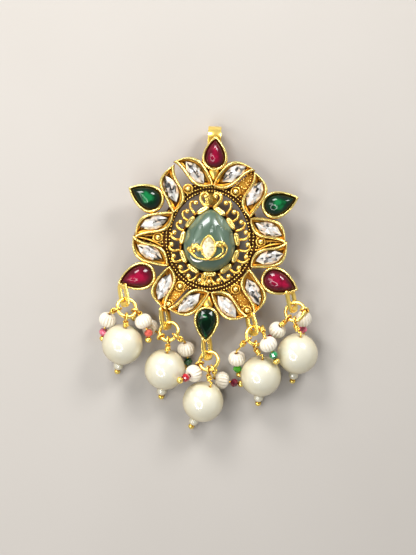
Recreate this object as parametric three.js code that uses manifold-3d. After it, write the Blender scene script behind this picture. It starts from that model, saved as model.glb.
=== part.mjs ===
// Hair bun brooch: an oval flower of stone-set bezels with a flat hook behind and five pearl drops.
// Millimetres. The brooch lies face up: +Z is its face, +Y points to the hook, +X to the right.
// Inside the group all places are measured from the middle of the flower, with z = 0 on the table.

import * as THREE from 'three';
import { mergeVertices } from 'three/addons/utils/BufferGeometryUtils.js';
import Module from 'manifold-3d';

const wasm = await Module();
wasm.setup();

// ---- driving dimensions ----

const FLOWER_X = -0.765;
const FLOWER_Y = 9.707;

const BACK_Z = 5.4;
const WEB_TOP_Z = 6.9;
const POCKET_Z = 6.2;
const RIM_TOP_Z = 8.0;
const CUT_TOP_Z = 12;
const RIM_WALL = 0.55;
const SOLDER_SINK = 0.2;

const LEAF_HALF_WIDTH = 2.6;
const LEAF_BASE_ROUND = 0.85;
const LEAF_TIP_SHARP = 1.0;
const LEAF_STATIONS = 7;
const TIP_CURL = 0.9;
const TIP_SHARPNESS = 8;

const PEAR_TAPER = 0.8;
const PEAR_SIDES = 12;

const STONE_GAP = 0.3;
const CRYSTAL = { length: 6.4, width: 2.7, height: 1.7 };
const LOTUS_CRYSTAL = { length: 4.5, width: 2.0, height: 0.9 };

const ROPE = { radius: 0.5, steps: 28, z: 6.9 };
const INNER_ROPE = { semiX: 9.7, semiY: 11.7, corners: 4, turns: 3.5 };
const OUTER_ROPE = { semiX: 10.8, semiY: 12.8, corners: 3, turns: 0 };
const PLATE_OUTER = { semiX: 11.6, semiY: 13.5 };
const PLATE_INNER = { semiX: 9.4, semiY: 11.4 };
const OVAL_SIDES = 28;

const CENTRE = { halfWidth: 6.46, halfHeight: 7.54, y: -0.66, taper: 0.35, fullness: 1.07, heartY: -1.9 };
const CENTRE_TOP_Z = 11.0;
const COLLAR_WALL = 0.9;
const LOBE_COUNT = 12;
const LOBE = { radius: 0.6, stretch: 2.3, z: 7.2 };
const COLLAR_TOP_Z = 7.3;
const CUP_TOP_Z = 6.0;

// The centre stone's rise from its foot to its crown: how far out its outline is at each height.
const CENTRE_PROFILE = [
  { scale: 0.94, z: CUP_TOP_Z + STONE_GAP },
  { scale: 1.0, z: 7.5 },
  { scale: 0.92, z: 8.9 },
  { scale: 0.76, z: 9.9 },
  { scale: 0.52, z: 10.6 },
  { scale: 0.25, z: CENTRE_TOP_Z },
];

const SCROLL_COUNT = 10;
const SCROLL_STEP = 17.8;
const SCROLL_START = 8.5;
const SCROLL_RING = { semiX: 8.75, semiY: 10.45 };
const SCROLL_LEAD = 0.28;
const SCROLL_WIRE = 0.27;
const SCROLL_BALL = 0.62;
const SCROLL_Z = 6.1;

// The scroll's wire round its ball, as distances out from the ball's middle and on towards the next ball.
const SCROLL_CURL = [
  { outward: 0.4, onward: 0.2 },
  { outward: 0.75, onward: 0.9 },
  { outward: 0.1, onward: 1.75 },
  { outward: -0.9, onward: 1.9 },
];

const GRANULE_RADIUS = 0.9;

const HOOK = { width: 3.2, thickness: 1.0, topY: 27.34, footY: -14, solderY: 13 };

const PEARL_RADIUS = 5.0;
const PEARL_BORE = 0.6;
const PEARL_SLOPE = THREE.MathUtils.degToRad(30);
const PEARL_TURN = THREE.MathUtils.degToRad(18);
const SEED_RADIUS = 1.2;
const END_BALL_RADIUS = 0.8;
const FLUTED = { radius: 2.0, halfLength: 1.75, bore: 0.55, flutes: 5, depth: 0.1 };
const COLOUR_BEAD_RADIUS = 1.15;
const END_SPACING = 1.7;
const SEED_GAP = 0.15;
const PIN_REACH = 0.2;

const LINK = { radius: 2.25, wire: 0.4, pitch: 21, roll: 18 };
const LINK_Z = 7.3;
const LOOP = { radius: 0.95, wire: 0.22, root: 0.16, steps: 7 };
const WRAP = { radius: 0.48, length: 1.0, margin: 0.4 };
const BAIL = { length: 5.0, depth: 2.8, wall: 0.42, width: 1.0, turn: 36, z: 6.75 };

// ---- tables, in the flower's own millimetres ----

// Each leaf bezel: its base and tip, the side that its tip is hooked away from, how far its middle line
// sways (in degrees) and bows, and where its stone lies and points.
const LEAVES = [
  {
    name: 'crown_1', base: [0.2, 12.6], tip: [9.9, 17.5], side: 1, sway: 14, bow: 0.85,
    stone: [5.1, 15.8, 37],
  },
  {
    name: 'crown_2', base: [0.9, -13.1], tip: [9.7, -19.0], side: -1, sway: 14, bow: 0.4,
    stone: [4.9, -16.3, -48],
  },
  {
    name: 'crown_3', base: [0.6, -13.0], tip: [-9.1, -18.1], side: 1, sway: 14, bow: 0.5,
    stone: [-4.3, -15.8, 43],
  },
  {
    name: 'crown_4', base: [0.2, 12.8], tip: [-9.2, 18.7], side: -1, sway: 14, bow: 0.4,
    stone: [-4.2, 15.6, -48],
  },
  {
    name: 'shoulder_1', base: [9.4, 5.4], tip: [10.6, 16.5], side: -1, sway: 22, bow: 0.5,
    stone: [10.4, 11.1, 61],
  },
  {
    name: 'shoulder_2', base: [9.9, -7.0], tip: [12.1, -17.8], side: 1, sway: 22, bow: 0.3,
    stone: [11.2, -12.5, -62],
  },
  {
    name: 'shoulder_3', base: [-9.4, -7.2], tip: [-10.3, -17.9], side: -1, sway: 18, bow: 1.0,
    stone: [-10.4, -12.2, 67],
  },
  {
    name: 'shoulder_4', base: [-9.0, 5.6], tip: [-10.1, 17.3], side: 1, sway: 22, bow: 0.2,
    stone: [-9.9, 11.4, -65],
  },
  {
    name: 'flank_1', base: [9.5, 5.2], tip: [18.7, 0.0], side: 1, sway: 18, bow: 0.25,
    stone: [14.1, 2.8, -22],
  },
  {
    name: 'flank_2', base: [10.1, -6.5], tip: [19.1, -0.5], side: -1, sway: 18, bow: 0.55,
    stone: [14.6, -4.0, 16],
  },
  {
    name: 'flank_3', base: [-9.8, -7.2], tip: [-19.0, -0.8], side: 1, sway: 18, bow: 0.3,
    stone: [-14.3, -4.1, -27],
  },
  {
    name: 'flank_4', base: [-9.0, 5.8], tip: [-18.4, -0.4], side: -1, sway: 18, bow: 0.25,
    stone: [-13.6, 3.1, 20],
  },
];

const PEARS = [
  { name: 'top', x: 0.3, y: 20.4, angle: 91, length: 8.4, width: 6.2, colour: 'ruby' },
  { name: 'upper_right', x: 16.6, y: 9.1, angle: 21, length: 9.3, width: 6.6, colour: 'emerald' },
  { name: 'lower_right', x: 17.4, y: -9.9, angle: -19, length: 9.5, width: 6.7, colour: 'ruby' },
  { name: 'bottom', x: 0.15, y: -20.8, angle: -90, length: 8.8, width: 6.2, colour: 'emerald' },
  { name: 'lower_left', x: -17.2, y: -10.3, angle: -160, length: 9.5, width: 6.8, colour: 'ruby' },
  { name: 'upper_left', x: -15.9, y: 9.3, angle: 155, length: 9.3, width: 6.8, colour: 'emerald' },
];

// The plates that fill the valleys between leaves; the valley at the upper left is left open.
const WEBS = [
  { corners: [[4.6, 12.0], [9.5, 17.0], [10.5, 16.0], [10.0, 7.0]] },
  { corners: [[10.4, 4.6], [18.3, 0.2], [18.6, -0.7], [10.4, -5.0]] },
  { corners: [[4.6, -12.0], [9.4, -18.5], [11.8, -17.4], [10.4, -8.0]] },
  { corners: [[-4.6, -12.0], [-9.0, -17.7], [-10.2, -17.5], [-10.0, -8.0]] },
  { corners: [[-10.4, 4.6], [-18.2, -0.2], [-18.6, -0.9], [-10.4, -5.4]] },
  { corners: [[-3.2, 16.2], [3.2, 16.2], [0.2, 12.6]] },
  { corners: [[-3.2, -16.2], [3.2, -16.2], [0.6, -12.8]] },
];

const GRANULES = [
  { x: -5.9, y: 11.9 },
  { x: 5.9, y: 11.9 },
  { x: 12.5, y: -0.3 },
  { x: -12.6, y: -0.4 },
  { x: -6.6, y: -12.1 },
  { x: 6.8, y: -12.2 },
  { x: -9.2, y: -16.4 },
  { x: 9.8, y: -17.0 },
];

// Each bail hangs from a bezel's point or a web's point, turned one way or the other about its length.
const BAILS = [
  { x: -20.1, y: -14.65, lean: 12, turned: 1 },
  { x: -9.8, y: -19.7, lean: 11, turned: -1 },
  { x: 0.6, y: -26.5, lean: 7, turned: -1 },
  { x: 11.1, y: -20.2, lean: 15, turned: 1 },
  { x: 20.4, y: -14.1, lean: 14, turned: -1 },
];

// Each drop: its jump ring's middle, its pearl's middle and the way that the pearl's pin points.
const DROPS = [
  { link: [-19.2, -17.7], pearl: [-19.9, -26.65], toward: [-0.17, -1] },
  { link: [-8.75, -22.9], pearl: [-9.35, -32.25], toward: [-0.1, -1] },
  { link: [1.2, -29.55], pearl: [0.25, -39.6], toward: [-0.4, -1] },
  { link: [12.1, -22.95], pearl: [13.95, -32.75], toward: [-0.03, -1] },
  { link: [21.35, -16.7], pearl: [22.55, -26.9], toward: [-0.1, -1] },
];

// Each strand: its drop, its side, its place on the jump ring in degrees, where its neck leaves its
// loop in degrees (0 outwards, 90 upwards), and where its fluted bead, its small coloured bead and
// its end ball lie.
const STRANDS = [
  {
    drop: 1, side: 'left', at: 200, leave: 0,
    fluted: [-23.9, -20.95, 3.2], bead: [-24.85, -24.0, 1.8], end: [-24.95, -25.7, 1.2],
  },
  {
    drop: 1, side: 'right', at: -12, leave: 0,
    fluted: [-15.1, -20.8, 6.0], bead: [-13.7, -23.6, 5.9], end: [-13.65, -25.5, 5.4],
  },
  {
    drop: 2, side: 'left', at: 212, leave: -90,
    fluted: [-13.5, -22.4, 2.2], bead: [-16.1, -20.9, 1.3], end: [-17.6, -20.2, 1.0],
  },
  {
    drop: 2, side: 'right', at: -35, leave: 0,
    fluted: [-4.5, -27.15, 3.6], bead: [-3.85, -30.2, 2.4], end: [-4.1, -32.0, 1.5],
  },
  {
    drop: 3, side: 'left', at: 192, leave: -90,
    fluted: [-2.3, -32.75, 7.0], bead: [-4.2, -33.75, 9.15], end: [-5.6, -34.4, 10.0],
  },
  {
    drop: 3, side: 'right', at: -58, leave: -90,
    fluted: [4.6, -34.35, 2.6], bead: [7.6, -34.85, 2.2], end: [9.1, -35.05, 1.9],
  },
  {
    drop: 4, side: 'left', at: 215, leave: 0,
    fluted: [7.95, -28.8, 4.2], bead: [8.25, -31.35, 2.4], end: [8.8, -32.85, 1.6],
  },
  {
    drop: 4, side: 'right', at: 58, leave: 90,
    fluted: [15.2, -24.8, 9.6], bead: [16.6, -27.35, 8.7], end: [17.6, -29.3, 8.5],
  },
  {
    drop: 5, side: 'left', at: 225, leave: 0,
    fluted: [17.4, -21.4, 5.2], bead: [16.1, -23.5, 3.0], end: [15.4, -25.2, 2.0],
  },
  {
    drop: 5, side: 'right', at: 8, leave: -30,
    fluted: [23.5, -18.4, 5.0], bead: [23.7, -21.0, 2.6], end: [23.6, -22.2, 1.0],
  },
];

// The lotus petals' wires on the centre stone.
const LOTUS = { x: -0.05, y: -2.15, length: 6.3, width: 3.6, wire: 0.4, seat: 0.5 };
const PETALS = [
  { route: [[1.55, -1.45], [3.35, -0.95], [4.95, -2.15], [4.35, -3.75], [2.75, -4.85], [0.75, -4.95]] },
  { route: [[-1.65, -1.65], [-3.45, -1.35], [-4.85, -2.65], [-4.35, -4.05], [-2.75, -5.15], [-0.75, -5.25]] },
];

// ---- materials ----

const METALS = {
  antiqueGold: new THREE.MeshStandardMaterial({ color: 0xc8963c, roughness: 0.35, metalness: 1 }),
  brightGold: new THREE.MeshStandardMaterial({ color: 0xf2c65a, roughness: 0.22, metalness: 1 }),
};

const STONES = {
  jade: new THREE.MeshStandardMaterial({ color: 0x6f8274, roughness: 0.25 }),
  ruby: new THREE.MeshStandardMaterial({ color: 0x8e0f36, roughness: 0.08 }),
  emerald: new THREE.MeshStandardMaterial({ color: 0x064d26, roughness: 0.08 }),
  crystal: new THREE.MeshStandardMaterial({ color: 0xe6e2dc, roughness: 0.05, metalness: 0.4 }),
  pearl: new THREE.MeshStandardMaterial({ color: 0xf3eee0, roughness: 0.22 }),
  fluted: new THREE.MeshStandardMaterial({ color: 0xefe3d2, roughness: 0.45 }),
};

// ---- geometry helpers ----

// A closed skin from a list of coordinates and triangles, turned so that its faces point out.
function closedGeometry(positions, index) {
  const corner = (order) => new THREE.Vector3().fromArray(positions, index[order] * 3);
  let volume = 0;
  for (let order = 0; order < index.length; order += 3) {
    volume += corner(order).dot(corner(order + 1).cross(corner(order + 2)));
  }
  const geometry = new THREE.BufferGeometry();
  geometry.setAttribute('position', new THREE.Float32BufferAttribute(positions, 3));
  geometry.setIndex(volume > 0 ? index : index.toReversed());
  return geometry;
}

// Skins a row of equal rings. An open row gets flat ends; a closed row returns to its first ring.
function loft(rings, closed = false) {
  const count = rings[0].length;
  const positions = rings.flat().flatMap((point) => point.toArray());
  const index = [];
  const bands = closed ? rings.length : rings.length - 1;
  for (let band = 0; band < bands; band += 1) {
    const low = band * count;
    const high = ((band + 1) % rings.length) * count;
    for (let side = 0; side < count; side += 1) {
      const next = (side + 1) % count;
      index.push(low + side, low + next, high + next, low + side, high + next, high + side);
    }
  }
  if (!closed) {
    const last = (rings.length - 1) * count;
    for (let side = 1; side < count - 1; side += 1) {
      index.push(0, side + 1, side, last, last + side, last + side + 1);
    }
  }
  return closedGeometry(positions, index);
}

function solidOf(geometry) {
  const bare = new THREE.BufferGeometry();
  bare.setAttribute('position', geometry.getAttribute('position'));
  bare.setIndex(geometry.index);
  const merged = mergeVertices(bare, 1e-4);
  return new wasm.Manifold(new wasm.Mesh({
    numProp: 3,
    vertProperties: Float32Array.from(merged.getAttribute('position').array),
    triVerts: Uint32Array.from(merged.index.array),
  }));
}

function geometryOf(solid) {
  const mesh = solid.getMesh();
  return closedGeometry(Array.from(mesh.vertProperties), Array.from(mesh.triVerts));
}

function joined(geometries) {
  return geometries.map(solidOf).reduce((sum, solid) => sum.add(solid));
}

// An outline of [x, y] points raised from one height to another.
function prism(outline, bottom, top, hole = null) {
  const shape = new THREE.Shape(outline.map(([x, y]) => new THREE.Vector2(x, y)));
  if (hole) {
    shape.holes.push(new THREE.Path(hole.map(([x, y]) => new THREE.Vector2(x, y))));
  }
  const options = { depth: top - bottom, bevelEnabled: false, curveSegments: 1 };
  return new THREE.ExtrudeGeometry(shape, options).translate(0, 0, bottom);
}

function circle(radius, sides) {
  const shape = new THREE.Shape();
  for (let side = 0; side < sides; side += 1) {
    const angle = (2 * Math.PI * side) / sides;
    const move = side === 0 ? 'moveTo' : 'lineTo';
    shape[move](radius * Math.cos(angle), radius * Math.sin(angle));
  }
  return shape;
}

function wire(points, radius, steps, sides = 5) {
  const extrudePath = new THREE.CatmullRomCurve3(points);
  return new THREE.ExtrudeGeometry(circle(radius, sides), { steps, extrudePath, bevelEnabled: false });
}

function bead(radius, centre) {
  return new THREE.SphereGeometry(radius, 10, 4).translate(...centre);
}

function grain(radius, centre) {
  return new THREE.IcosahedronGeometry(radius).translate(...centre);
}

function vector([x, y, z]) {
  return new THREE.Vector3(x, y, z);
}

function oval({ semiX, semiY }, sides = OVAL_SIDES) {
  return Array.from({ length: sides }, (_, side) => {
    const angle = (2 * Math.PI * side) / sides;
    return [semiX * Math.cos(angle), semiY * Math.sin(angle)];
  });
}

// A pear outline with its point on +X, its length and width given.
function pearOutline(length, width, sides) {
  const points = Array.from({ length: sides }, (_, side) => {
    const angle = (2 * Math.PI * side) / sides;
    return [Math.cos(angle), Math.sin(angle) * Math.sin(angle / 2) ** PEAR_TAPER];
  });
  const widest = Math.max(...points.map(([, y]) => y));
  return points.map(([x, y]) => [(x * length) / 2, (y * width) / 2 / widest]);
}

// A point of the centre stone's teardrop, grown outwards by a margin; the angle starts at its tip.
function teardropPoint(margin, angle) {
  const belly = CENTRE.fullness * Math.sin(angle / 2) ** CENTRE.taper;
  const x = (CENTRE.halfWidth + margin) * Math.sin(angle) * belly;
  return [x, CENTRE.y + (CENTRE.halfHeight + margin) * Math.cos(angle)];
}

function teardrop(margin, sides) {
  return Array.from({ length: sides }, (_, side) => teardropPoint(margin, (2 * Math.PI * side) / sides));
}

function marquise(length, width, sides) {
  const half = sides / 2;
  return Array.from({ length: sides }, (_, side) => {
    const along = side <= half ? 1 - (2 * side) / half : (2 * (side - half)) / half - 1;
    const across = (1 - along * along) * (side < half ? 1 : -1);
    return [(along * length) / 2, (across * width) / 2];
  });
}

function scaledRing(outline, scale, z, centreY = 0) {
  return outline.map(([x, y]) => new THREE.Vector3(x * scale, centreY + (y - centreY) * scale, z));
}

// ---- bezels ----

// Half the leaf's width at a part of its length, from 0 at its base to 1 at its tip.
function leafHalfWidth(part) {
  const swell = (at) => at ** LEAF_BASE_ROUND * (1 - at) ** LEAF_TIP_SHARP;
  return (LEAF_HALF_WIDTH * swell(part)) / swell(LEAF_BASE_ROUND / (LEAF_BASE_ROUND + LEAF_TIP_SHARP));
}

// The leaf's bent middle line, as a sideways distance from the straight line base to tip.
function leafSway(leaf, length, part) {
  const wave = (length / (2 * Math.PI)) * Math.tan(THREE.MathUtils.degToRad(leaf.sway));
  const bend = leaf.bow * Math.sin(Math.PI * part) - wave * Math.sin(2 * Math.PI * part);
  return leaf.side * (bend - TIP_CURL * part ** TIP_SHARPNESS);
}

// The first and last part of a leaf's length where there is room between its two walls.
function leafReach(wall) {
  if (wall === 0) {
    return [0, 1];
  }
  const parts = Array.from({ length: 201 }, (_, step) => step / 200);
  const roomy = parts.filter((part) => leafHalfWidth(part) > wall);
  return [roomy[0], roomy[roomy.length - 1]];
}

function leafOutline(leaf, wall) {
  const along = new THREE.Vector2(leaf.tip[0] - leaf.base[0], leaf.tip[1] - leaf.base[1]);
  const length = along.length();
  along.normalize();
  const [start, end] = leafReach(wall);
  const sides = [1, -1].map((side) => Array.from({ length: LEAF_STATIONS }, (_, station) => {
    const crowded = (1 - Math.cos((Math.PI * station) / (LEAF_STATIONS - 1))) / 2;
    const part = start + (end - start) * crowded;
    const half = Math.max(leafHalfWidth(part) - wall, 0);
    const across = leafSway(leaf, length, part) + side * half;
    return [
      leaf.base[0] + along.x * part * length - along.y * across,
      leaf.base[1] + along.y * part * length + along.x * across,
    ];
  }));
  return [...sides[0], ...sides[1].slice(1, -1).reverse()];
}

function pearBezelOutline(pear, margin) {
  const turn = THREE.MathUtils.degToRad(pear.angle);
  return pearOutline(pear.length + 2 * margin, pear.width + 2 * margin, PEAR_SIDES).map(([x, y]) => [
    pear.x + x * Math.cos(turn) - y * Math.sin(turn),
    pear.y + x * Math.sin(turn) + y * Math.cos(turn),
  ]);
}

// ---- ropes, scrolls, collar ----

// A wire of square or three-cornered section laid round an oval, twisted or with one corner up.
function ropeRing({ semiX, semiY, corners, turns }) {
  const rings = Array.from({ length: ROPE.steps }, (_, step) => {
    const angle = (2 * Math.PI * step) / ROPE.steps;
    const twist = Math.PI / 2 + angle * turns;
    const outward = new THREE.Vector3(Math.cos(angle) / semiX, Math.sin(angle) / semiY, 0).normalize();
    return Array.from({ length: corners }, (__, corner) => {
      const around = twist + (2 * Math.PI * corner) / corners;
      return new THREE.Vector3(semiX * Math.cos(angle), semiY * Math.sin(angle), ROPE.z)
        .addScaledVector(outward, ROPE.radius * Math.cos(around))
        .add(new THREE.Vector3(0, 0, ROPE.radius * Math.sin(around)));
    });
  });
  return loft(rings, true);
}

// One C-scroll: a ball, and a wire that curls round it and runs in to the collar.
function scroll(index, side) {
  const angle = THREE.MathUtils.degToRad(SCROLL_START + index * SCROLL_STEP);
  const centre = new THREE.Vector3(
    side * SCROLL_RING.semiX * Math.sin(angle),
    SCROLL_RING.semiY * Math.cos(angle),
    SCROLL_Z,
  );
  const out = new THREE.Vector3(side * Math.sin(angle), Math.cos(angle), 0);
  const down = new THREE.Vector3(side * Math.cos(angle), -Math.sin(angle), 0);
  const [collarX, collarY] = teardropPoint(STONE_GAP + COLLAR_WALL / 2, angle + SCROLL_LEAD);
  const seat = new THREE.Vector3(side * collarX, collarY, SCROLL_Z);
  const curl = SCROLL_CURL.map(({ outward, onward }) => (
    centre.clone().addScaledVector(out, outward).addScaledVector(down, onward)
  ));
  return [grain(SCROLL_BALL, centre), wire([...curl, seat], SCROLL_WIRE, SCROLL_CURL.length, 4)];
}

function scrollRow(side) {
  return Array.from({ length: SCROLL_COUNT }, (_, index) => scroll(index, side)).flat();
}

function lobe(index) {
  const outline = teardrop(STONE_GAP + LOBE.radius, LOBE_COUNT * 2);
  const [x, y] = outline[index * 2 + 1];
  const [nextX, nextY] = outline[(index * 2 + 2) % outline.length];
  const [lastX, lastY] = outline[index * 2];
  const turn = Math.atan2(nextY - lastY, nextX - lastX);
  return new THREE.IcosahedronGeometry(LOBE.radius)
    .scale(LOBE.stretch, 1, 1)
    .rotateZ(turn)
    .translate(x, y, LOBE.z);
}

// ---- bails and hook ----

function bail({ x, y, lean, turned }) {
  const outer = roundedBox(BAIL.length, BAIL.depth, 0.8);
  const inner = roundedBox(BAIL.length - 2 * BAIL.wall, BAIL.depth - 2 * BAIL.wall, 0.4);
  return prism(outer, -BAIL.width / 2, BAIL.width / 2, inner)
    .rotateY(Math.PI / 2)
    .rotateX(Math.PI / 2)
    .rotateY(THREE.MathUtils.degToRad(BAIL.turn * turned))
    .rotateZ(THREE.MathUtils.degToRad(lean))
    .translate(x, y, BAIL.z);
}

// A box outline with its corners cut off.
function roundedBox(length, depth, corner) {
  const x = length / 2;
  const y = depth / 2;
  return [
    [x - corner, -y], [x, corner - y], [x, y - corner], [x - corner, y],
    [corner - x, y], [-x, y - corner], [-x, corner - y], [corner - x, -y],
  ];
}

function hook() {
  const radius = (BACK_Z + HOOK.thickness) / 2;
  const bendY = HOOK.topY - radius;
  const arc = (size, from, to) => Array.from({ length: 9 }, (_, step) => {
    const angle = from + ((to - from) * step) / 8;
    return [bendY + size * Math.cos(angle), radius + size * Math.sin(angle)];
  });
  const inside = radius - HOOK.thickness;
  const outline = [
    [HOOK.solderY, BACK_Z + HOOK.thickness],
    ...arc(radius, Math.PI / 2, -Math.PI / 2),
    [HOOK.footY, 0],
    [HOOK.footY, HOOK.thickness],
    ...arc(inside, -Math.PI / 2, Math.PI / 2),
    [HOOK.solderY, BACK_Z],
  ];
  return prism(outline, -HOOK.width / 2, HOOK.width / 2).rotateY(Math.PI / 2).rotateX(Math.PI / 2);
}

// ---- the soldered frame ----

function frameGeometry() {
  const metal = [
    prism(oval(PLATE_OUTER), BACK_Z, WEB_TOP_Z, oval(PLATE_INNER)),
    ...LEAVES.map((leaf) => prism(leafOutline(leaf, 0), BACK_Z, RIM_TOP_Z)),
    ...PEARS.map((pear) => prism(pearBezelOutline(pear, 0), BACK_Z, RIM_TOP_Z)),
    ...WEBS.map((web) => prism(web.corners, BACK_Z, WEB_TOP_Z)),
    ropeRing(INNER_ROPE),
    ropeRing(OUTER_ROPE),
    ...[-1, 1].flatMap(scrollRow),
    prism(teardrop(STONE_GAP + COLLAR_WALL, 24), BACK_Z, COLLAR_TOP_Z),
    ...Array.from({ length: LOBE_COUNT }, (_, index) => lobe(index)),
    ...GRANULES.map(({ x, y }) => grain(GRANULE_RADIUS, [x, y, WEB_TOP_Z + SOLDER_SINK])),
    ...BAILS.map(bail),
    hook(),
  ];
  const pockets = [
    ...LEAVES.map((leaf) => prism(leafOutline(leaf, RIM_WALL), POCKET_Z, CUT_TOP_Z)),
    ...PEARS.map((pear) => prism(pearBezelOutline(pear, -RIM_WALL), POCKET_Z, CUT_TOP_Z)),
    prism(teardrop(STONE_GAP, 24), CUP_TOP_Z, CUT_TOP_Z),
  ];
  return geometryOf(joined(metal).subtract(joined(pockets)));
}

// ---- stones ----

function crystalGeometry(length, width, height) {
  const outline = marquise(length, width, 8);
  const cut = [
    { scale: 0.25, z: 0 },
    { scale: 1.0, z: 0.55 * height },
    { scale: 0.55, z: height },
  ];
  return loft(cut.map(({ scale, z }) => scaledRing(outline, scale, z)));
}

function pearStoneGeometry(pear, faceted) {
  const gap = RIM_WALL + STONE_GAP;
  const outline = pearOutline(pear.length - 2 * gap, pear.width - 2 * gap, PEAR_SIDES);
  const dome = [
    { scale: 0.9, z: 0 },
    { scale: 1.0, z: 0.9 },
    { scale: 0.85, z: 1.8 },
    { scale: 0.5, z: 2.4 },
  ];
  const cut = [
    { scale: 0.3, z: 0 },
    { scale: 1.0, z: 1.0 },
    { scale: 1.0, z: 1.2 },
    { scale: 0.55, z: 2.0 },
  ];
  return loft((faceted ? cut : dome).map(({ scale, z }) => scaledRing(outline, scale, z)));
}

function centreStoneGeometry() {
  const outline = teardrop(0, 20);
  return loft(CENTRE_PROFILE.map(({ scale, z }) => scaledRing(outline, scale, z, CENTRE.heartY)));
}

// The height of the centre stone's face above the table.
function domeHeight(x, y) {
  const bearing = Math.atan2(y - CENTRE.heartY, x);
  const miss = ([edgeX, edgeY]) => Math.abs(Math.atan2(edgeY - CENTRE.heartY, edgeX) - bearing);
  const [edgeX, edgeY] = teardrop(0, 96).reduce((best, point) => (miss(point) < miss(best) ? point : best));
  const scale = Math.hypot(x, y - CENTRE.heartY) / Math.hypot(edgeX, edgeY - CENTRE.heartY);
  const step = CENTRE_PROFILE.findIndex((row, index) => index > 0 && row.scale <= scale);
  if (step < 0) {
    return CENTRE_TOP_Z;
  }
  const [outer, inner] = [CENTRE_PROFILE[step - 1], CENTRE_PROFILE[step]];
  return inner.z + ((outer.z - inner.z) * (scale - inner.scale)) / (outer.scale - inner.scale);
}

// A point of the lotus wire's middle line, seated over the stone.
function onDome([x, y]) {
  return new THREE.Vector3(x, y, domeHeight(x, y) + LOTUS.wire + LOTUS.seat);
}

function lotusGeometry() {
  const outline = marquise(LOTUS.length, LOTUS.width, 10);
  const rim = outline.map(([along, across]) => onDome([LOTUS.x + across, LOTUS.y + along]));
  const petals = PETALS.map((petal) => wire(petal.route.map(onDome), LOTUS.wire, 5));
  return geometryOf(joined([ringWire(rim, LOTUS.wire), ...petals]));
}

// ---- drops ----

// Rings of a wire's section at each corner of a bent route, with a radius for each corner.
function sections(route, radii, closed, sides = 5) {
  const up = new THREE.Vector3(0.31, 0.17, 0.93);
  return route.map((point, index) => {
    const before = route[closed ? (index + route.length - 1) % route.length : Math.max(index - 1, 0)];
    const after = route[closed ? (index + 1) % route.length : Math.min(index + 1, route.length - 1)];
    const along = after.clone().sub(before).normalize();
    const across = along.clone().cross(up).normalize();
    const over = across.clone().cross(along);
    return Array.from({ length: sides }, (_, side) => {
      const angle = (2 * Math.PI * side) / sides;
      return point.clone()
        .addScaledVector(across, radii[index] * Math.cos(angle))
        .addScaledVector(over, radii[index] * Math.sin(angle));
    });
  });
}

function ringWire(route, radius) {
  return loft(sections(route, route.map(() => radius), true), true);
}

// The jump ring of a drop: its middle and how it is turned.
function linkPose(number) {
  const { link } = DROPS[number - 1];
  const turn = new THREE.Euler(
    THREE.MathUtils.degToRad(-LINK.pitch),
    THREE.MathUtils.degToRad(LINK.roll * BAILS[number - 1].turned),
    0,
  );
  return { middle: new THREE.Vector3(link[0], link[1], LINK_Z), turn };
}

// The loop of a pin round the jump ring's wire: its middle, and the directions out and up.
function loopPose(number, degrees) {
  const { middle, turn } = linkPose(number);
  const angle = THREE.MathUtils.degToRad(degrees);
  const out = new THREE.Vector3(Math.cos(angle), Math.sin(angle), 0).applyEuler(turn);
  const up = new THREE.Vector3(0, 0, 1).applyEuler(turn);
  return { centre: middle.clone().addScaledVector(out, LINK.radius), out, up };
}

function loopGeometry({ centre, out, up }) {
  const route = Array.from({ length: LOOP.steps }, (_, step) => {
    const angle = (2 * Math.PI * step) / LOOP.steps;
    return centre.clone()
      .addScaledVector(out, LOOP.radius * Math.cos(angle))
      .addScaledVector(up, LOOP.radius * Math.sin(angle));
  });
  const rings = route.map((point, step) => {
    const angle = (2 * Math.PI * step) / LOOP.steps;
    const away = point.clone().sub(centre).normalize();
    const aside = out.clone().cross(up);
    return Array.from({ length: 5 }, (_, side) => {
      const around = (2 * Math.PI * side) / 5;
      return point.clone()
        .addScaledVector(away, LOOP.wire * Math.cos(around))
        .addScaledVector(aside, LOOP.wire * Math.sin(around));
    });
  });
  return loft(rings, true);
}

// A head pin: a loop on the jump ring, a wrapped neck, a stem through a drilled bead, then a small
// bead and the ball at its end.
function pinGeometry(loop, leave, nearEnd, middle, endGrain) {
  const angle = THREE.MathUtils.degToRad(leave);
  const start = loop.centre.clone()
    .addScaledVector(loop.out, LOOP.radius * Math.cos(angle))
    .addScaledVector(loop.up, LOOP.radius * Math.sin(angle));
  const toBead = nearEnd.clone().sub(start);
  const wrapLength = Math.min(WRAP.length, toBead.length() - 2 * WRAP.margin);
  toBead.normalize();
  const neck = (distance) => start.clone().addScaledVector(toBead, distance);
  const stem = [
    { point: start, radius: LOOP.root },
    { point: neck(WRAP.margin), radius: WRAP.radius },
    { point: neck(WRAP.margin + wrapLength), radius: WRAP.radius },
    { point: nearEnd, radius: LOOP.wire },
    { point: middle.centre, radius: LOOP.wire },
  ];
  return geometryOf(joined([
    loopGeometry(loop),
    loft(sections(stem.map(({ point }) => point), stem.map(({ radius }) => radius), false)),
    bead(middle.radius, middle.centre),
    grain(END_BALL_RADIUS, endGrain),
  ]));
}

function pearlAxis(drop) {
  const [x, y] = drop.toward;
  const plan = new THREE.Vector2(x, y).normalize().multiplyScalar(Math.cos(PEARL_SLOPE));
  return new THREE.Vector3(plan.x, plan.y, -Math.sin(PEARL_SLOPE));
}

function pearlGeometry() {
  const edge = Math.asin(PEARL_BORE / PEARL_RADIUS);
  const profile = Array.from({ length: 7 }, (_, step) => {
    const angle = edge + ((Math.PI - 2 * edge) * step) / 6;
    return new THREE.Vector2(PEARL_RADIUS * Math.sin(angle), -PEARL_RADIUS * Math.cos(angle));
  });
  return new THREE.LatheGeometry([...profile, profile[0]], 12, PEARL_TURN);
}

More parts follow.
